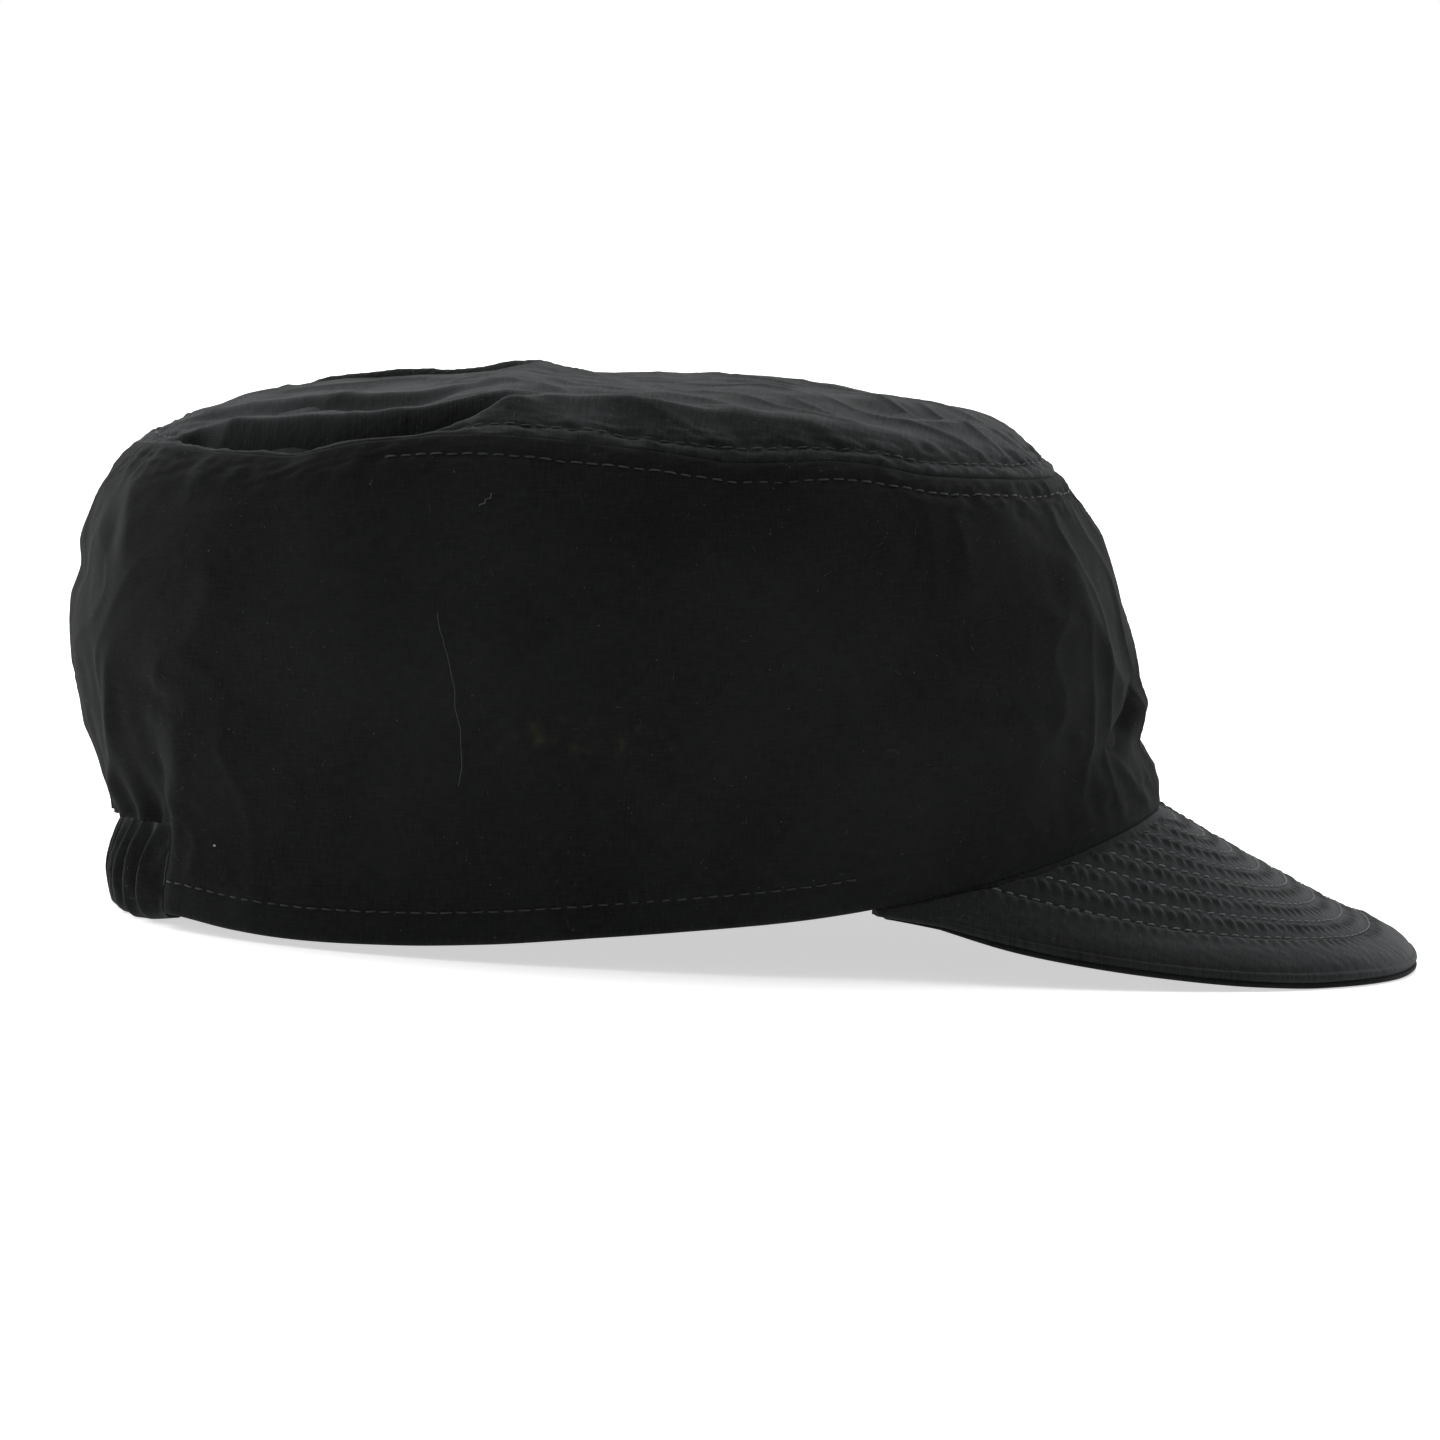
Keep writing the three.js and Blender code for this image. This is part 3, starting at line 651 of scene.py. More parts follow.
def seam_groove(x, away):
    """The groove where crown and wall meet: faint at the back, where the cloth rolls over it."""
    deep = lerp(GROOVE_AT_BACK, GROOVE_IN_FRONT, smooth(-30, 25, x))
    return deep * clamp(1 - away / GROOVE_WIDTH) ** 2


def puckers(turns, away, row, seed):
    """Uneven short creases across a sewn row near a seam. They fade away from it."""
    wide = noise(turns * 61, away / 14, seed + 1, 61)
    fine = noise(turns * 118 + 0.5 * wide, away / 9, seed, 118)
    crisp = 1 - 2 * np.abs(noise(turns * 83 + 0.4 * wide, away / 12, seed + 40, 83))
    dimples = noise(turns * 170 + away / 5, away / 1.9, seed + 60, 170)
    creases = 0.5 * fine + 0.5 * wide + 0.4 * crisp + 0.6 * dimples - 0.2
    return creases * hump(away - row, PUCKER_REACH) * smooth(0, SEAM_EDGE, away)


def wall_detail(angle, x, from_top, from_hem):
    """How far the wall's cloth stands out at each place, in millimetres."""
    turns = angle / TURN
    degrees = np.degrees(angle)
    soft = sum(height * noise(turns * around, from_hem / size, seed, around)
               for height, around, size, seed in WALL_LAYERS)
    bend = 0.4 * noise(turns * 20, from_hem / 20, 14, 20)
    crease = (1 - np.abs(noise(turns * 30 + bend, from_hem / 34, 15, 30))) ** CREASE_POWER
    # The folds are stronger towards the front and the back than at both ears.
    near_ends = smooth(0.35, 0.9, np.abs(np.cos(angle)))
    detail = soft * (0.40 + 0.6 * near_ends) + crease * (0.15 + 0.5 * near_ends)
    detail = detail * smooth(0, 12, from_top) * smooth(0, 9, from_hem)
    detail += SEAM_PUCKER * puckers(turns, from_top, SEAM_ROW, 16)
    hem_puckers = noise(turns * 140, from_hem / 8, 18, 140)
    detail += HEM_PUCKER * hem_puckers * hump(from_hem - HEM_ROW, HEM_PUCKER_REACH)
    is_bare = (smooth(SEAM_ROW_END, SEAM_ROW_END + 4, degrees)
               * smooth(SEAM_ROW_START + 1, SEAM_ROW_START - 3, degrees))
    detail -= SEAM_ROW_DENT * hump(from_top - SEAM_ROW, ROW_DENT_WIDTH) * (1 - is_bare)
    detail -= HEM_ROW_DENT * hump(from_hem - HEM_ROW, ROW_DENT_WIDTH)
    detail += HEM_STEP * smooth(HEM_ROW + 2.6, HEM_ROW + 0.8, from_hem)
    detail -= seam_groove(x, from_top)
    gathers = np.cos(CASING_GATHERS * np.pi / np.radians(CASING_HALF_ANGLE) * (angle - np.pi))
    is_back = smooth(CASING_HALF_ANGLE + 4, CASING_HALF_ANGLE - 3, np.abs(degrees - 180))
    above = np.clip(from_hem - CASING_SHARE * WALL_HEIGHT, 0, None)
    return detail - GATHER_DEPTH * gathers * is_back * np.exp(-above / GATHER_FADE)


def polar_grid(columns, steps):
    """The angle and the share of each place on a grid that runs around the opening."""
    return np.meshgrid(np.linspace(0, TURN, columns, endpoint=False), steps, indexing="ij")


def build_wall():
    """The side wall with its hem, cut open for the casing, and its sewn rows."""
    columns = 720
    hem_share = 0.014
    steps = np.r_[np.linspace(hem_share, CASING_SHARE, 19), np.linspace(CASING_SHARE, 0.86, 57)[1:],
                  np.linspace(0.86, 1, 27)[1:]]
    angle, share = polar_grid(columns, steps)
    base = wall_point(angle, share)
    normal = normals(base, True)
    run = run_along(base)
    from_hem = run + share[:, :1] * WALL_HEIGHT
    from_top = run[:, -1:] - run
    outer = base + normal * wall_detail(angle, base[..., 0], from_top, from_hem)[..., None]
    skin = normals(outer, True)
    hem_steps = np.array([hem_share, 0.04, 0.065, 0.082])
    wall_steps = np.array([0.090, 0.12, CASING_SHARE, 0.28, 0.4, 0.52, 0.64, 0.76, 0.88, 0.95, 1.0])
    at = np.abs(steps - np.r_[hem_steps, wall_steps][:, None]).argmin(1)
    depth = np.r_[HEM_CLOTH + 0 * hem_steps, WALL_CLOTH + 0 * wall_steps]
    inner = outer[:, at] - normal[:, at] * depth[:, None]
    bottom, out = outer[:, 0], normal[:, 0]
    centre = bottom - out * HEM_CLOTH / 2
    down = unit(outer[:, 0] - outer[:, 2])
    turn = np.linspace(np.pi, 0, ROLL_STEPS + 2)[1:-1]
    foot = np.stack([centre + HEM_CLOTH / 2 * (out * np.cos(a) + down * np.sin(a)) for a in turn], 1)
    girth = np.linspace(0, TURN, columns + 1) * FOLD_RADIUS
    uv = np.stack([np.repeat(girth[:, None], len(steps), 1),
                   np.concatenate([from_hem, from_hem[:1]])], -1) * MM
    first = round(columns * (180 - CASING_HALF_ANGLE) / 360)
    cut = (first, columns - first, int(np.abs(steps - CASING_SHARE).argmin()), 6)
    piece = shell("side_wall_cloth", outer, inner, uv, True, foot=foot, cut=cut)
    corner = round(columns * PEAK_CORNER_ANGLE / 360)
    seam_parts = (slice(0, columns // 2), slice(round(columns * SEAM_ROW_START / 360), columns))
    hem_parts = (slice(corner, first), slice(columns - first + 1, columns - corner))
    lines = [on_row(outer[part], skin[part], from_top[part], SEAM_ROW) for part in seam_parts]
    lines += [on_row(outer[part], skin[part], from_hem[part], HEM_ROW) for part in hem_parts]
    return piece, (outer, skin, steps), lines


# The crown
def crown_detail(x, y, from_seam, turns):
    """How far the crown's cloth stands out at each place, in millimetres."""
    soft = sum(height * noise(x / size, y / size, seed) for height, size, seed in CROWN_LAYERS)
    bend = 5 * noise(x / 30, y / 30, 34)
    crease = (1 - np.abs(noise((x + bend) / 30, (y + 0.5 * x + bend) / 13, 35))) ** CREASE_POWER
    detail = (soft + 0.55 * crease) * smooth(0, 12, from_seam)
    detail += CROWN_PUCKER * puckers(turns, from_seam, CROWN_ROW, 36)
    detail -= CROWN_ROW_DENT * hump(from_seam - CROWN_ROW, ROW_DENT_WIDTH)
    return detail - seam_groove(x, from_seam)


def build_crown():
    """The crown, and its sewn row beside the seam."""
    steps = np.r_[np.linspace(1, 0.80, 40), np.linspace(0.80, 0.015, 66)[1:]]
    angle, share = polar_grid(540, steps)
    base = crown_point(angle, share)
    normal = normals(base, True)
    from_seam = run_along(base)
    detail = crown_detail(base[..., 0], base[..., 1], from_seam, angle / TURN)
    outer = base + normal * detail[..., None]
    skin = normals(outer, True)
    at = np.array([0, 8, 16, 26, 39, 50, 62, 76, 90, len(steps) - 1])
    depth = np.where(at > 0, CROWN_CLOTH, SEAM_CLOTH)
    inner = outer[:, at] - normal[:, at] * depth[:, None]
    inner[:, 0, 2] -= SEAM_DROP
    uv = base[..., :2] * MM
    piece = dome_shell("crown_cloth", outer, inner, np.concatenate([uv, uv[:1]]))
    return piece, (outer, skin), [on_row(outer, skin, from_seam, CROWN_ROW)]


def dome_shell(name, outer, inner, uv):
    """A closed dome: two polar grids, from their shared edge to a middle that a fan closes."""
    columns, outer_rows = outer.shape[:2]
    inner_rows = inner.shape[1]
    count = outer_rows + inner_rows
    rings = np.concatenate([inner[:, ::-1], outer], 1)
    pick = np.linspace(0, outer_rows - 1, inner_rows).round().astype(int)[::-1]
    ring_uv = np.concatenate([uv[:, pick], uv], 1)
    i, k = np.meshgrid(np.arange(columns), np.arange(count - 1), indexing="ij")
    faces, quad_uv = quads_between(i.ravel(), k.ravel(), columns, ring_uv)
    tops = [outer[:, -1].mean(0), inner[:, -1].mean(0)]
    points = np.concatenate([rings.reshape(-1, 3), tops])
    middle, centre_uv, more_uv = columns * count, uv[:-1, -1].mean(0), []
    for c in range(columns):
        after = (c + 1) % columns
        faces.append([c * count + count - 1, after * count + count - 1, middle])
        faces.append([after * count, c * count, middle + 1])
        more_uv += [ring_uv[c, -1], ring_uv[c + 1, -1], centre_uv]
        more_uv += [ring_uv[c + 1, 0], ring_uv[c, 0], centre_uv]
    return make_mesh(name, points, faces, np.concatenate([quad_uv, np.array(more_uv)]))


# The peak
QUILT_PITCH = 5.45
QUILT_BORDER = 9.0
QUILT_ROWS = 11
QUILT_STITCH = 2.5
QUILT_SHIFT = 1.4
QUILT_SINK = 0.32
QUILT_FILL = 0.7
BEAD_AT_TIP = 0.35
BEAD_AT_SIDE = 0.56
BEAD_PLACE = 0.60
BEAD_WIDTH = 0.21
BORDER_FULL = 0.25
BORDER_BEAD = 0.30
BORDER_GROOVE = 0.45
PEAK_SWAY = 0.25
PEAK_TUCK = 0.5
PEAK_LIP = 0.5
PEAK_LIP_WIDTH = 3.4
TUCK_RISE = 0.2
DETAIL_TAPER = 10
SHORTEST_ROW = 12
UNDER_GAP = 0.12
FLOOR_GAP = 0.05
UP = np.array([0, 0, 1])


def nearest_on_edge(points, edge):
    """The plan distance from each point to an edge line, how far along it that is, and how far
    the edge has turned there, in radians."""
    step = np.diff(edge, axis=0)
    run = np.r_[0, np.cumsum(np.linalg.norm(step, axis=1))]
    heading = np.unwrap(np.arctan2(step[:, 1], step[:, 0]))
    turn = np.r_[heading, heading[-1]] - heading[len(heading) // 2]
    flat = points.reshape(-1, 2)
    best, where, turned = np.empty(len(flat)), np.empty(len(flat)), np.empty(len(flat))
    for start in range(0, len(flat), 4096):
        part = flat[start:start + 4096]
        gap = np.linalg.norm(part[:, None] - edge[None], axis=-1)
        k = gap.argmin(1)
        best[start:start + 4096] = gap[np.arange(len(part)), k]
        where[start:start + 4096] = run[k]
        turned[start:start + 4096] = turn[k]
    return (values.reshape(points.shape[:-1]) for values in (best, where, turned))


def row_run(row, where, turned):
    """How far along its own quilting row a point lies: the rows inside are shorter."""
    return where - (QUILT_BORDER + QUILT_PITCH * row) * turned + QUILT_SHIFT * row


def puffs(row, where, turned):
    """From 0 at each needle hole of a quilting row to about 1 half way to the next."""
    run = row_run(row, where, turned)
    run = run + 0.45 * noise(run / 5, row * 2.9 + 0.5, 54)
    uneven = 1 + 0.5 * noise(run / 4, row * 3.7 + 0.5, 51)
    return (0.5 - 0.5 * np.cos(TURN * run / QUILT_STITCH)) ** 0.8 * uneven


def peak_detail(distance, where, turned, share):
    """How far the peak's cloth stands out: beads along each quilting row, and a plain border."""
    row = (distance - QUILT_BORDER) / QUILT_PITCH
    lane = np.maximum(np.floor(row), 0)
    phase = clamp(row - lane)
    pillow = np.sin(np.pi * phase) ** 0.8
    grain = noise(where / 5.5, distance / 4, 52)
    size = lerp(BEAD_AT_TIP, BEAD_AT_SIDE, smooth(0.15, 0.9, np.abs(turned)))
    bead = hump(phase - BEAD_PLACE, BEAD_WIDTH) * puffs(lane + BEAD_PLACE, where, turned)
    quilt = size * (pillow * (0.30 + 0.14 * grain) + bead) - QUILT_SINK
    inner = np.clip(-row, 0, None) * QUILT_PITCH
    border = BORDER_FULL * np.sin(np.pi * clamp(distance / QUILT_BORDER)) ** 0.8 + 0.06 * grain
    border += BORDER_BEAD * puffs(0, where, turned) * hump(inner - 1.3, 1.2)
    border -= BORDER_GROOVE * hump(inner, 0.9)
    border -= PEAK_LIP * clamp(1 - distance / PEAK_LIP_WIDTH) ** 2
    sway = PEAK_SWAY * noise(where / 34, distance / 40, 53)
    sway += 0.07 * noise(where / 1.7, distance / 1.7, 55, 250)
    detail = (np.where(row < 0, border, quilt) + sway) * smooth(0.0, 0.05, share)
    return detail - PEAK_TUCK * hump(share - 0.025, 0.02)


def rolled_edge(centre, half, out, count):
    """Rows that carry a cloth round its outer edge, from its upper to its lower face."""
    turns = np.linspace(0, np.pi, count + 2)[1:-1]
    return np.stack([centre + half * (UP * np.cos(a) + out * np.sin(a)) for a in turns], 1)


def build_peak():
    """The peak's upper cloth, from a tuck under the wall's hem to its rolled outer edge."""
    columns, rows, hidden = 520, 146, 7
    corner = np.radians(PEAK_CORNER_ANGLE)
    angles = np.linspace(-corner, corner, columns)
    steps = np.r_[np.linspace(-0.9, 0, hidden + 1)[:-1], np.linspace(0, 1, rows)]
    angle, share = np.meshgrid(angles, steps, indexing="ij")
    base = peak_point(angle, clamp(share))
    face, hem = (np.stack(wall_oval(angle, 0 * share, depth), -1) for depth in (0.0, HEM_CLOTH))
    base[..., :2] += (hem - face) * clamp(-share)[..., None]
    base[..., 2] += TUCK_RISE * smooth(0, -0.5, share)
    edge = peak_point(np.linspace(-corner, corner, 2400), np.ones(2400))
    distance, where, turned = nearest_on_edge(base[..., :2], edge[:, :2])
    normal = normals(base, False)
    normal = np.where(normal[..., 2:] < 0, -normal, normal)
    thin = clamp(from_corner(angle) / DETAIL_TAPER)
    detail = peak_detail(distance, where, turned, clamp(share)) * thin
    outer = base + normal * detail[..., None]
    cloth = peak_cloth(angles)[:, None]
    half = (outer[:, -1, 2:] - base[:, -1, 2:] + cloth) / 2
    head = rolled_edge(outer[:, -1] - UP * half, half, 0.9 * edge_normals(base[:, -1]), 7)
    at = np.r_[0, 3, hidden, np.linspace(hidden, len(steps) - 1, 16)[1:].round().astype(int)]
    inner = base[:, at] - UP * cloth[:, None]
    piece = shell("peak_upper_cloth", outer, inner, base[..., :2] * MM, False, head=head)
    lines = []
    outer, normal, distance, where, turned = (
        values[:, hidden:] for values in (outer, normal, distance, where, turned))
    for k in range(QUILT_ROWS):
        target = QUILT_BORDER + QUILT_PITCH * k
        line = on_row(outer, normal, distance, target, row_run(k, where, turned))
        if len(line[0]) > SHORTEST_ROW:
            lines.append(line)
    return piece, (outer[:, 3:], normal[:, 3:]), lines


def edge_normals(line):
    """Outward level directions along the peak's outer edge."""
    tangent = unit(np.gradient(line, axis=0) * [1, 1, 0])
    return np.stack([tangent[:, 1], -tangent[:, 0], 0 * tangent[:, 0]], -1)


def build_underside():
    """The peak's lower cloth, close under the upper one and thin at both corners."""
    corner = np.radians(UNDER_CORNER_ANGLE)
    angles = np.linspace(-corner, corner, 260)
    angle, share = np.meshgrid(angles, np.linspace(0, 1, 44), indexing="ij")
    base = peak_point(angle, share)
    upper = base - UP * (peak_cloth(angle) + UNDER_GAP)[..., None]
    away = smooth(0, 0.1, share) * smooth(1, 0.9, share)
    ripple = 0.12 * noise(base[..., 0] / 9, base[..., 1] / 9, 61) * away
    thin = lerp(0.15, 1, smooth(0, 9, UNDER_CORNER_ANGLE - np.abs(np.degrees(angle))))
    lower = upper - UP * ((UNDER_CLOTH + ripple) * thin)[..., None]
    lower[..., 2] = np.maximum(lower[..., 2], FLOOR_GAP)
    half = np.linalg.norm(upper[:, -1] - lower[:, -1], axis=-1)[:, None] / 2
    head = rolled_edge((upper[:, -1] + lower[:, -1]) / 2, half, edge_normals(base[:, -1]), 5)
    return shell("peak_under_cloth", upper, lower, base[..., :2] * MM, False, head=head)


# The elastic casing
CASING_DEPTH = 4.4
CASING_ROLL = 0.09
CASING_ROLL_DEPTH = 1.2
CASING_LIFT = 1.8
CASING_CLOTH_LENGTH = 0.20
CASING_INSET = 3.0
CASING_END_DROP = 0.6
CASING_END_SPAN = 9
GATHER_WIDTH = 0.24
GATHER_HEIGHT = 3.2


def casing_grid(across, share):
    """A point of the casing's plain outer face, which lifts off the floor at both ends."""
    half_angle = np.radians(CASING_HALF_ANGLE) - (2 * GAP) / FOLD_RADIUS * 0.4
    angle = np.pi + lerp(-half_angle, half_angle, across)
    x, y = wall_oval(angle, CASING_SHARE * share)
    top = wall_point(angle, 0 * share + CASING_SHARE)[..., 2] - 0.1
    from_end = np.degrees(half_angle - np.abs(angle - np.pi))
    lift = CASING_LIFT * clamp(1 - from_end / CASING_END_SPAN) ** 1.2
    return np.stack([x, y, lerp(lift, top, share)], -1)


def casing_bulge(across, share):
    """The gathers: narrow crests with wide hollows between, pinched together at the top."""
    wander = 0.010 * noise(across * 9, share * 1.3, 71) + 0.005 * noise(across * 30, share * 2.5, 72)
    turn = (across + wander) * CASING_GATHERS
    crest = np.round(turn)
    size = 1 + 0.25 * noise(crest * 3.7 + 0.5, 0 * crest + 0.5, 73)
    ruffle = np.exp(-(np.abs(turn - crest) / GATHER_WIDTH) ** 1.6) * size
    between = 0.30 * noise(turn * 2.3, share * 2.2, 76)
    fullness = np.sin(np.pi * lerp(0.14, 0.95, share)) ** 0.7
    wrinkle = 0.14 * noise(across * 60, share * 3, 74) + 0.10 * noise(across * 90, share * 9, 75)
    gathers = (GATHER_HEIGHT * ruffle + between + wrinkle) * fullness
    return 0.3 * casing_out(share) - CASING_INSET + gathers


def build_casing():
    """The gathered casing, rolled under at its lower edge."""
    rows = 72
    across, share = np.meshgrid(np.linspace(0, 1, 560), np.linspace(0, 1, rows), indexing="ij")
    base = casing_grid(across, share)
    normal = normals(base, False)
    ends = smooth(0, 0.012, across) * smooth(1, 0.988, across)
    bulge = casing_bulge(across, share) * ends - CASING_END_DROP * (1 - ends)
    roll = CASING_ROLL_DEPTH * clamp(1 - share / CASING_ROLL) ** 2
    outer = base + normal * (bulge - roll)[..., None]
    outer[..., 2] = np.maximum(outer[..., 2], 0.0)
    at = np.linspace(0, rows - 1, 10).round().astype(int)
    inner = base[:, at] - normal[:, at] * CASING_DEPTH
    uv = np.stack([across * CASING_CLOTH_LENGTH, run_along(base) * MM], -1)
    return shell("casing_cloth", outer, inner, uv, False)


# Lint and fibres
FIBRE_LENGTH = (0.6, 2.0)
FIBRE_RISE = (0.05, 0.5)
FIBRE_THICK = 0.038
FIBRE_RINGS = 6
FIBRE_SIDES = 3
FIBRE_CURL = 0.5
FIBRE_SAG = 0.25
STRAND_SIDES = 5
STRAND_STEPS = 60
STRAND_SMOOTHING = 3
# The ends of each loose thread on the wall: degrees from the front and share of the height
LOOSE_THREAD = ((-109.2, 0.66), (-106.8, 0.31))
LINT_CURL = ((-106.0, 0.860), (-105.1, 0.888))
PALE_SPECK = ((-136.2, 0.168), (-135.7, 0.174))


def fibres(name, skin, count, seed):
    """Loose fibres as thin bent threads at random places of a cloth, in one mesh."""
    grid, normal = skin
    random = np.random.default_rng(seed)
    i, k = (random.integers(1, size - 1, count) for size in grid.shape[:2])
    places, ups = grid[i, k], normal[i, k]
    random = np.random.default_rng(seed + 1)
    level = unit(np.cross(ups, random.normal(size=(count, 3))))
    heading = unit(level + ups * random.uniform(*FIBRE_RISE, count)[:, None])
    curl = unit(np.cross(heading, ups)) * random.normal(0, FIBRE_CURL, count)[:, None] - ups * FIBRE_SAG
    length = random.uniform(*FIBRE_LENGTH, count)[:, None, None]
    t = np.linspace(0, 1, FIBRE_RINGS)[:, None]
    spine = places[:, None] + (heading[:, None] + curl[:, None] * t) * length * t
    side = unit(np.cross(heading, ups + 0.01))
    over = np.cross(heading, side)
    radius = FIBRE_THICK / 2 * (1 - 0.6 * t)
    return tubes(name, spine, side[:, None], over[:, None], radius[None, :, None], FIBRE_SIDES)


def on_wall(places):
    """Points and normals of the wall's cloth at places given as an angle in degrees and a share."""
    outer, skin, steps = wall_skin
    i = np.round(places[:, 0] % 360 / 360 * len(outer)).astype(int) % len(outer)
    k = np.abs(steps - places[:, 1:]).argmin(1)
    return outer[i, k], skin[i, k]


def strand(name, ends, bend, thick, steps=STRAND_STEPS):
    """One loose thread that lies on the wall's cloth, bowed sideways by some degrees."""
    t = np.linspace(0, 1, steps)
    places = lerp(np.array(ends[0]), np.array(ends[1]), t[:, None])
    places[:, 0] += bend * np.sin(np.pi * t) + 0.15 * noise(t * 7, 0 * t + 0.5, 77)
    spine, up = on_wall(places)
    window = 2 * STRAND_SMOOTHING + 1
    mean = np.ones(window) / window
    padded = np.pad(spine, ((STRAND_SMOOTHING, STRAND_SMOOTHING), (0, 0)), "edge")
    spine = np.stack([np.convolve(values, mean, "valid") for values in padded.T], -1)
    spine = spine + up * (thick * 0.7)
    side = unit(np.cross(up, unit(np.gradient(spine, axis=0))))
    return tubes(name, spine[None], side[None], up[None], thick / 2, STRAND_SIDES)


# The materials
WHITE = (1, 1, 1, 1)
# Lit and shaded copies of one black cotton: the crown, peak and casing are set lighter than the wall and
# the underside, as painted light on the parts that face the light.
WALL_COLOR = (0.0088, 0.0092, 0.0096)
CROWN_LIT_COLOR = (0.0108, 0.0115, 0.0121)
PEAK_LIT_COLOR = (0.0120, 0.0125, 0.0130)
OPEN_WEAVE = {"shine": 0.10, "across": 1.4}
DARK_THREAD_COLOR = (0.013, 0.014, 0.015)
# Much lighter than the dark thread: partly the thread's own lighter colour, partly a painted glint of
# light on the peak's stitches.
PEAK_THREAD_AND_GLINT_COLOR = (0.13, 0.135, 0.14)
FIBRE_COLOR = (0.045, 0.048, 0.050)
SPECK_COLOR = (0.45, 0.46, 0.45)
LINT_COLOR = (0.10, 0.105, 0.11, 1)
STAIN_COLOR = (0.030, 0.031, 0.015, 1)
STAIN_X = -0.031
STAIN_Z = 0.0425
SHEEN_TINT = (0.55, 0.58, 0.60, 1)
SHEEN_ROUGHNESS = 0.45
WEAVE = 0.30
WEFT_RATE = 0.9
WAVER = 3.0
WAVER_SCALE = 420
SLUB_UP_SCALE = (2600, 330, 1)
SLUB_ACROSS_SCALE = (330, 2400, 1)
LONG_SLUB_SCALE = (1500, 75, 1)
CHECK_CONTRAST = 0.08
FADE_CONTRAST = 0.9
PATCH_CONTRAST = 0.5
DARKEST = 0.35
WEAVE_BUMP = 0.04
THREAD_BUMP = 0.03


class Nodes:
    """A short way to wire the nodes of a material or a world."""

    def __init__(self, owner):
        self.owner = owner
        owner.use_nodes = True
        self.tree = owner.node_tree
        self.tree.nodes.clear()

    def new(self, kind, sockets=None, **settings):
        """The outputs of a new node, whose sockets each take a value or a link."""
        node = self.tree.nodes.new("ShaderNode" + kind)
        for key, value in settings.items():
            setattr(node, key, value)
        for key, value in (sockets or {}).items():
            if isinstance(value, bpy.types.NodeSocket):
                self.tree.links.new(value, node.inputs[key])
            else:
                node.inputs[key].default_value = value
        return node.outputs

    def body(self):
        return self.new("TexCoord")["Object"]

    def split(self, vector):
        return self.new("SeparateXYZ", {0: vector})

    def math(self, operation, *values):
        return self.new("Math", dict(enumerate(values)), operation=operation)[0]

    def mapped(self, vector, scale=(1, 1, 1), turn=0.0):
        return self.new("Mapping", {"Vector": vector, "Rotation": (0, 0, turn), "Scale": scale})[0]

    def noise(self, vector, scale, detail=2.0, roughness=0.5):
        sockets = {"Vector": vector, "Scale": scale, "Detail": detail, "Roughness": roughness}
        return self.new("TexNoise", sockets)["Fac"]

    def ramp(self, *values):
        """The first value, taken smoothly from its low and high to a new low and high."""
        return self.new("MapRange", dict(enumerate(values)), interpolation_type="SMOOTHSTEP")[0]

    def swing(self, base, texture, amount):
        """The base, moved up and down by a texture that runs from 0 to 1."""
        return self.math("MULTIPLY_ADD", self.math("SUBTRACT", texture, 0.5), amount, base)

    def mix(self, factor, a, b):
        return self.new("Mix", {0: factor, 6: a, 7: b}, data_type="RGBA")[2]

    def scaled(self, color, factor):
        return self.new("VectorMath", {0: color, "Scale": factor}, operation="SCALE")[0]

    def bump(self, height, strength, distance):
        return self.new("Bump", {"Height": height, "Strength": strength, "Distance": distance})[0]

    def surface(self, sockets):
        """The finished material, from a value or a link for each named socket of its shader."""
        shader = self.new("BsdfPrincipled", sockets)
        self.new("OutputMaterial", {"Surface": shader[0]})
        return self.owner


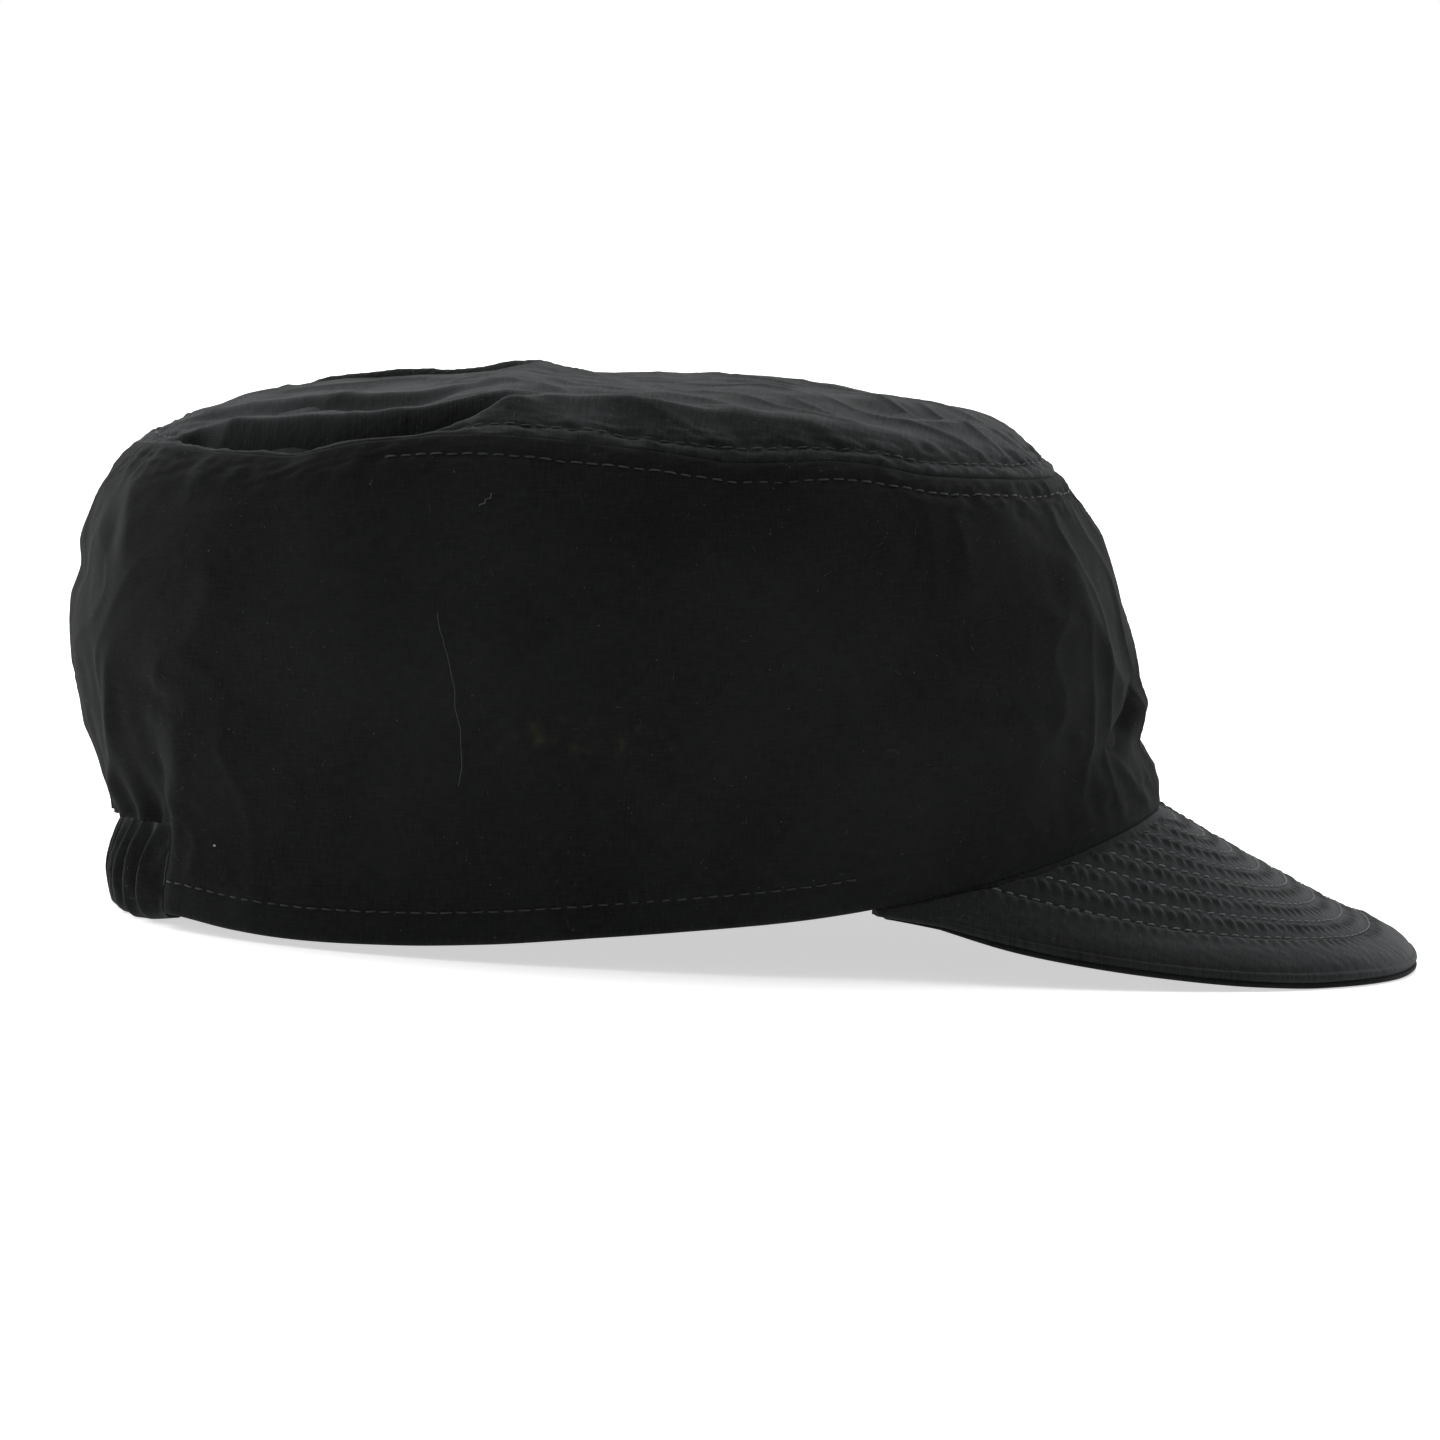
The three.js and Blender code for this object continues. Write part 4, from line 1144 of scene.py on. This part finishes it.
def cotton(name, color, turn=0.0, stain=None, sheen=0.10, shine=0.05, up=1.0, across=1.0, slub_and_top_light=0.0):
    """Thin worn cotton: plain weave of uneven threads, faded in patches, with a soft bloom, and painted
    light as long streaks on faces that point up.
    """
    n = Nodes(bpy.data.materials.new(name))
    body = n.body()
    uv = n.mapped(n.new("TexCoord")["UV"], turn=turn)
    along = n.split(uv)
    wave = TURN / (WEAVE * MM)
    shift = n.swing(0.0, n.noise(uv, WAVER_SCALE), WAVER)
    warp = n.math("SINE", n.math("MULTIPLY_ADD", along[0], wave, shift))
    weft = n.math("SINE", n.math("MULTIPLY_ADD", along[1], wave * WEFT_RATE, shift))
    checks = n.math("MULTIPLY", warp, weft)
    slub_up = n.noise(n.mapped(uv, SLUB_UP_SCALE), 1.0, 3.0, 0.6)
    slub_across = n.noise(n.mapped(uv, SLUB_ACROSS_SCALE), 1.0, 3.0, 0.6)
    long_slub = n.noise(n.mapped(uv, LONG_SLUB_SCALE), 1.0, 2.0, 0.6)
    # Long slub streaks are painted only on faces that point up. They stand in for the light that grazes
    # the lit tops: painted light.
    painted_top_light_mask = n.ramp(n.split(n.new("NewGeometry")["Normal"])[2], 0.70, 0.95)
    threads = n.swing(n.swing(0.0, slub_across, across), slub_up, up)
    threads = n.swing(threads, long_slub, n.math("MULTIPLY", painted_top_light_mask, slub_and_top_light))
    fade = n.noise(body, 26, 4.0, 0.6)
    bright = n.math("MULTIPLY_ADD", checks, CHECK_CONTRAST, n.math("ADD", threads, 1.0))
    bright = n.swing(n.swing(bright, fade, FADE_CONTRAST), n.noise(body, 9), PATCH_CONTRAST)
    tone = n.scaled(color, n.math("MAXIMUM", bright, DARKEST))
    tone = n.mix(n.ramp(n.noise(body, 2300, 1.0), 0.775, 0.83), tone, LINT_COLOR)
    if stain:
        tone = stain(n, body, tone)
    height = n.math("ADD", n.math("MULTIPLY", checks, 0.5), n.math("MULTIPLY", threads, 1.2))
    height = n.math("MULTIPLY_ADD", n.noise(body, 900, 3.0, 0.7), 0.8, height)
    return n.surface({
        "Base Color": tone,
        "Roughness": n.ramp(fade, 0.2, 0.8, 0.97, 0.84),
        "Specular IOR Level": shine,
        "Sheen Weight": sheen,
        "Sheen Roughness": SHEEN_ROUGHNESS,
        "Sheen Tint": SHEEN_TINT,
        "Normal": n.bump(height, 0.8, WEAVE_BUMP * MM),
    })


def thread(name, color):
    """Sewing thread: two plies twisted, seen as fine light and dark."""
    n = Nodes(bpy.data.materials.new(name))
    grain = n.noise(n.body(), 3200)
    return n.surface({
        "Base Color": n.scaled(color, n.math("MULTIPLY_ADD", grain, 1.0, 0.5)),
        "Roughness": n.ramp(grain, 0.2, 0.8, 0.6, 0.8),
        "Specular IOR Level": 0.25,
        "Sheen Weight": 0.2,
        "Normal": n.bump(grain, 0.5, THREAD_BUMP * MM),
    })


def wall_stain(n, body, tone):
    """A faint yellowish mark on the wearer's right side, as in the photograph."""
    x, y, z = n.split(body)
    across = n.ramp(n.math("ABSOLUTE", n.math("SUBTRACT", x, STAIN_X)), 0.022, 0.008)
    up = n.ramp(n.math("ABSOLUTE", n.math("SUBTRACT", z, STAIN_Z)), 0.0050, 0.001)
    near = n.ramp(y, -0.05, -0.07)
    spots = n.ramp(n.noise(body, 260, 3.0), 0.50, 0.74)
    mask = n.math("MULTIPLY", n.math("MULTIPLY", across, up), n.math("MULTIPLY", near, spots))
    return n.mix(n.math("MULTIPLY", mask, 0.45), tone, STAIN_COLOR)


def ready(piece, material, slot, *nodes):
    """Gives a piece its material and its body, and hides the CAD parts that it stands for. The slot is
    not used.
    """
    piece.data.materials.clear()
    piece.data.materials.append(material)
    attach(piece, "root")
    if nodes:
        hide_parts(*nodes)


# Building the pieces
place_camera()

wall, wall_skin, wall_lines = build_wall()
crown, crown_skin, crown_lines = build_crown()
peak, peak_skin, peak_lines = build_peak()
under = build_underside()
casing = build_casing()

wall_cotton = cotton("wall_cotton", WALL_COLOR, stain=wall_stain, sheen=0.06)
crown_cotton = cotton("crown_cotton", CROWN_LIT_COLOR, math.radians(4), sheen=0.14, up=2.2, slub_and_top_light=2.6,
                      **OPEN_WEAVE)
peak_cotton = cotton("peak_cotton", PEAK_LIT_COLOR, math.radians(2), sheen=0.24, up=2.0, slub_and_top_light=1.6,
                     **OPEN_WEAVE)
under_cotton = cotton("under_cotton", WALL_COLOR)
casing_cotton = cotton("casing_cotton", PEAK_LIT_COLOR, sheen=0.26)
ready(wall, wall_cotton, "wall_cloth", "side_wall")
ready(crown, crown_cotton, "crown_cloth", "crown_top")
ready(peak, peak_cotton, "peak_cloth", "peak_top")
ready(under, under_cotton, "under_cloth", "peak_underside")
ready(casing, casing_cotton, "casing_cloth", "elastic_casing")

dark_thread = thread("dark_thread", DARK_THREAD_COLOR)
# The peak's thread carries a painted glint on top of its own colour.
peak_thread_and_glint = thread("peak_thread_and_glint", PEAK_THREAD_AND_GLINT_COLOR)
ready(stitches("wall_stitching", wall_lines, 81), dark_thread, "wall_cloth")
ready(stitches("crown_stitching", crown_lines, 82), dark_thread, "crown_cloth")
ready(stitches("peak_stitching", peak_lines, 83, QUILT_STITCH, QUILT_FILL), peak_thread_and_glint, "peak_cloth")

lint = thread("lint", FIBRE_COLOR)
pale_lint = thread("pale_lint", SPECK_COLOR)
ready(fibres("wall_fibres", wall_skin[:2], 380, 91), lint, "wall_cloth")
ready(fibres("crown_fibres", crown_skin, 500, 93), lint, "crown_cloth")
ready(fibres("peak_fibres", peak_skin, 300, 95), lint, "peak_cloth")
ready(strand("loose_thread", LOOSE_THREAD, 1.0, 0.09), lint, "wall_cloth")
ready(strand("lint_curl", LINT_CURL, 0.3, 0.14), lint, "wall_cloth")
ready(strand("pale_speck", PALE_SPECK, 0.2, 0.35, 9), pale_lint, "wall_cloth")


# The stage and its light
FLOOR_HALF = 6.0
FLOOR_COLOR = (0.90, 0.90, 0.90, 1)
FLOOR_GLOW = 0.60
BRIGHT_SIDE = (-0.3, 0.72, 0.5)
DIM_LIGHT = 0.15
BRIGHT_LIGHT = 2.3


def floor():
    """A pale floor that also glows a little, as paper on a light table does."""
    mesh = bpy.data.meshes.new("floor")
    s = FLOOR_HALF
    mesh.from_pydata([(-s, -s, 0), (s, -s, 0), (s, s, 0), (-s, s, 0)], [], [(0, 1, 2, 3)])
    n = Nodes(bpy.data.materials.new("pale_floor"))
    grain = n.noise(n.body(), 60, 3.0)
    mesh.materials.append(n.surface({
        "Base Color": FLOOR_COLOR,
        "Roughness": n.ramp(grain, 0.2, 0.8, 0.9, 1.0),
        "Specular IOR Level": 0.0,
        "Emission Color": WHITE,
        "Emission Strength": FLOOR_GLOW,
    }))
    link("floor", mesh)


def area_light(name, place, aim, size, watts):
    data = bpy.data.lights.new(name, "AREA")
    data.shape = "RECTANGLE"
    data.size, data.size_y = size
    data.energy = watts
    lamp = link(name, data)
    lamp.location = place
    lamp.rotation_euler = (Vector(aim) - Vector(place)).to_track_quat("-Z", "Y").to_euler()


def surround():
    """A white studio: bright above and behind, dimmer on the near side."""
    world = bpy.data.worlds.new("studio")
    bpy.context.scene.world = world
    n = Nodes(world)
    sockets = {0: n.new("TexCoord")["Generated"], 1: BRIGHT_SIDE}
    towards = n.new("VectorMath", sockets, operation="DOT_PRODUCT")["Value"]
    light = n.ramp(towards, 0.0, 0.95, DIM_LIGHT, BRIGHT_LIGHT)
    is_seen = n.new("LightPath")["Is Camera Ray"]
    strength = n.new("Mix", {0: is_seen, 2: light, 3: 1.0})[0]
    back = n.new("Background", {"Color": WHITE, "Strength": strength})
    n.new("OutputWorld", {"Surface": back[0]})


floor()
surround()
area_light("top_light", (-0.25, 0.7, 1.4), (0, 0, 0.05), (1.6, 1.2), 6)
bpy.context.scene.view_settings.view_transform = "Standard"

bpy.context.view_layer.update()
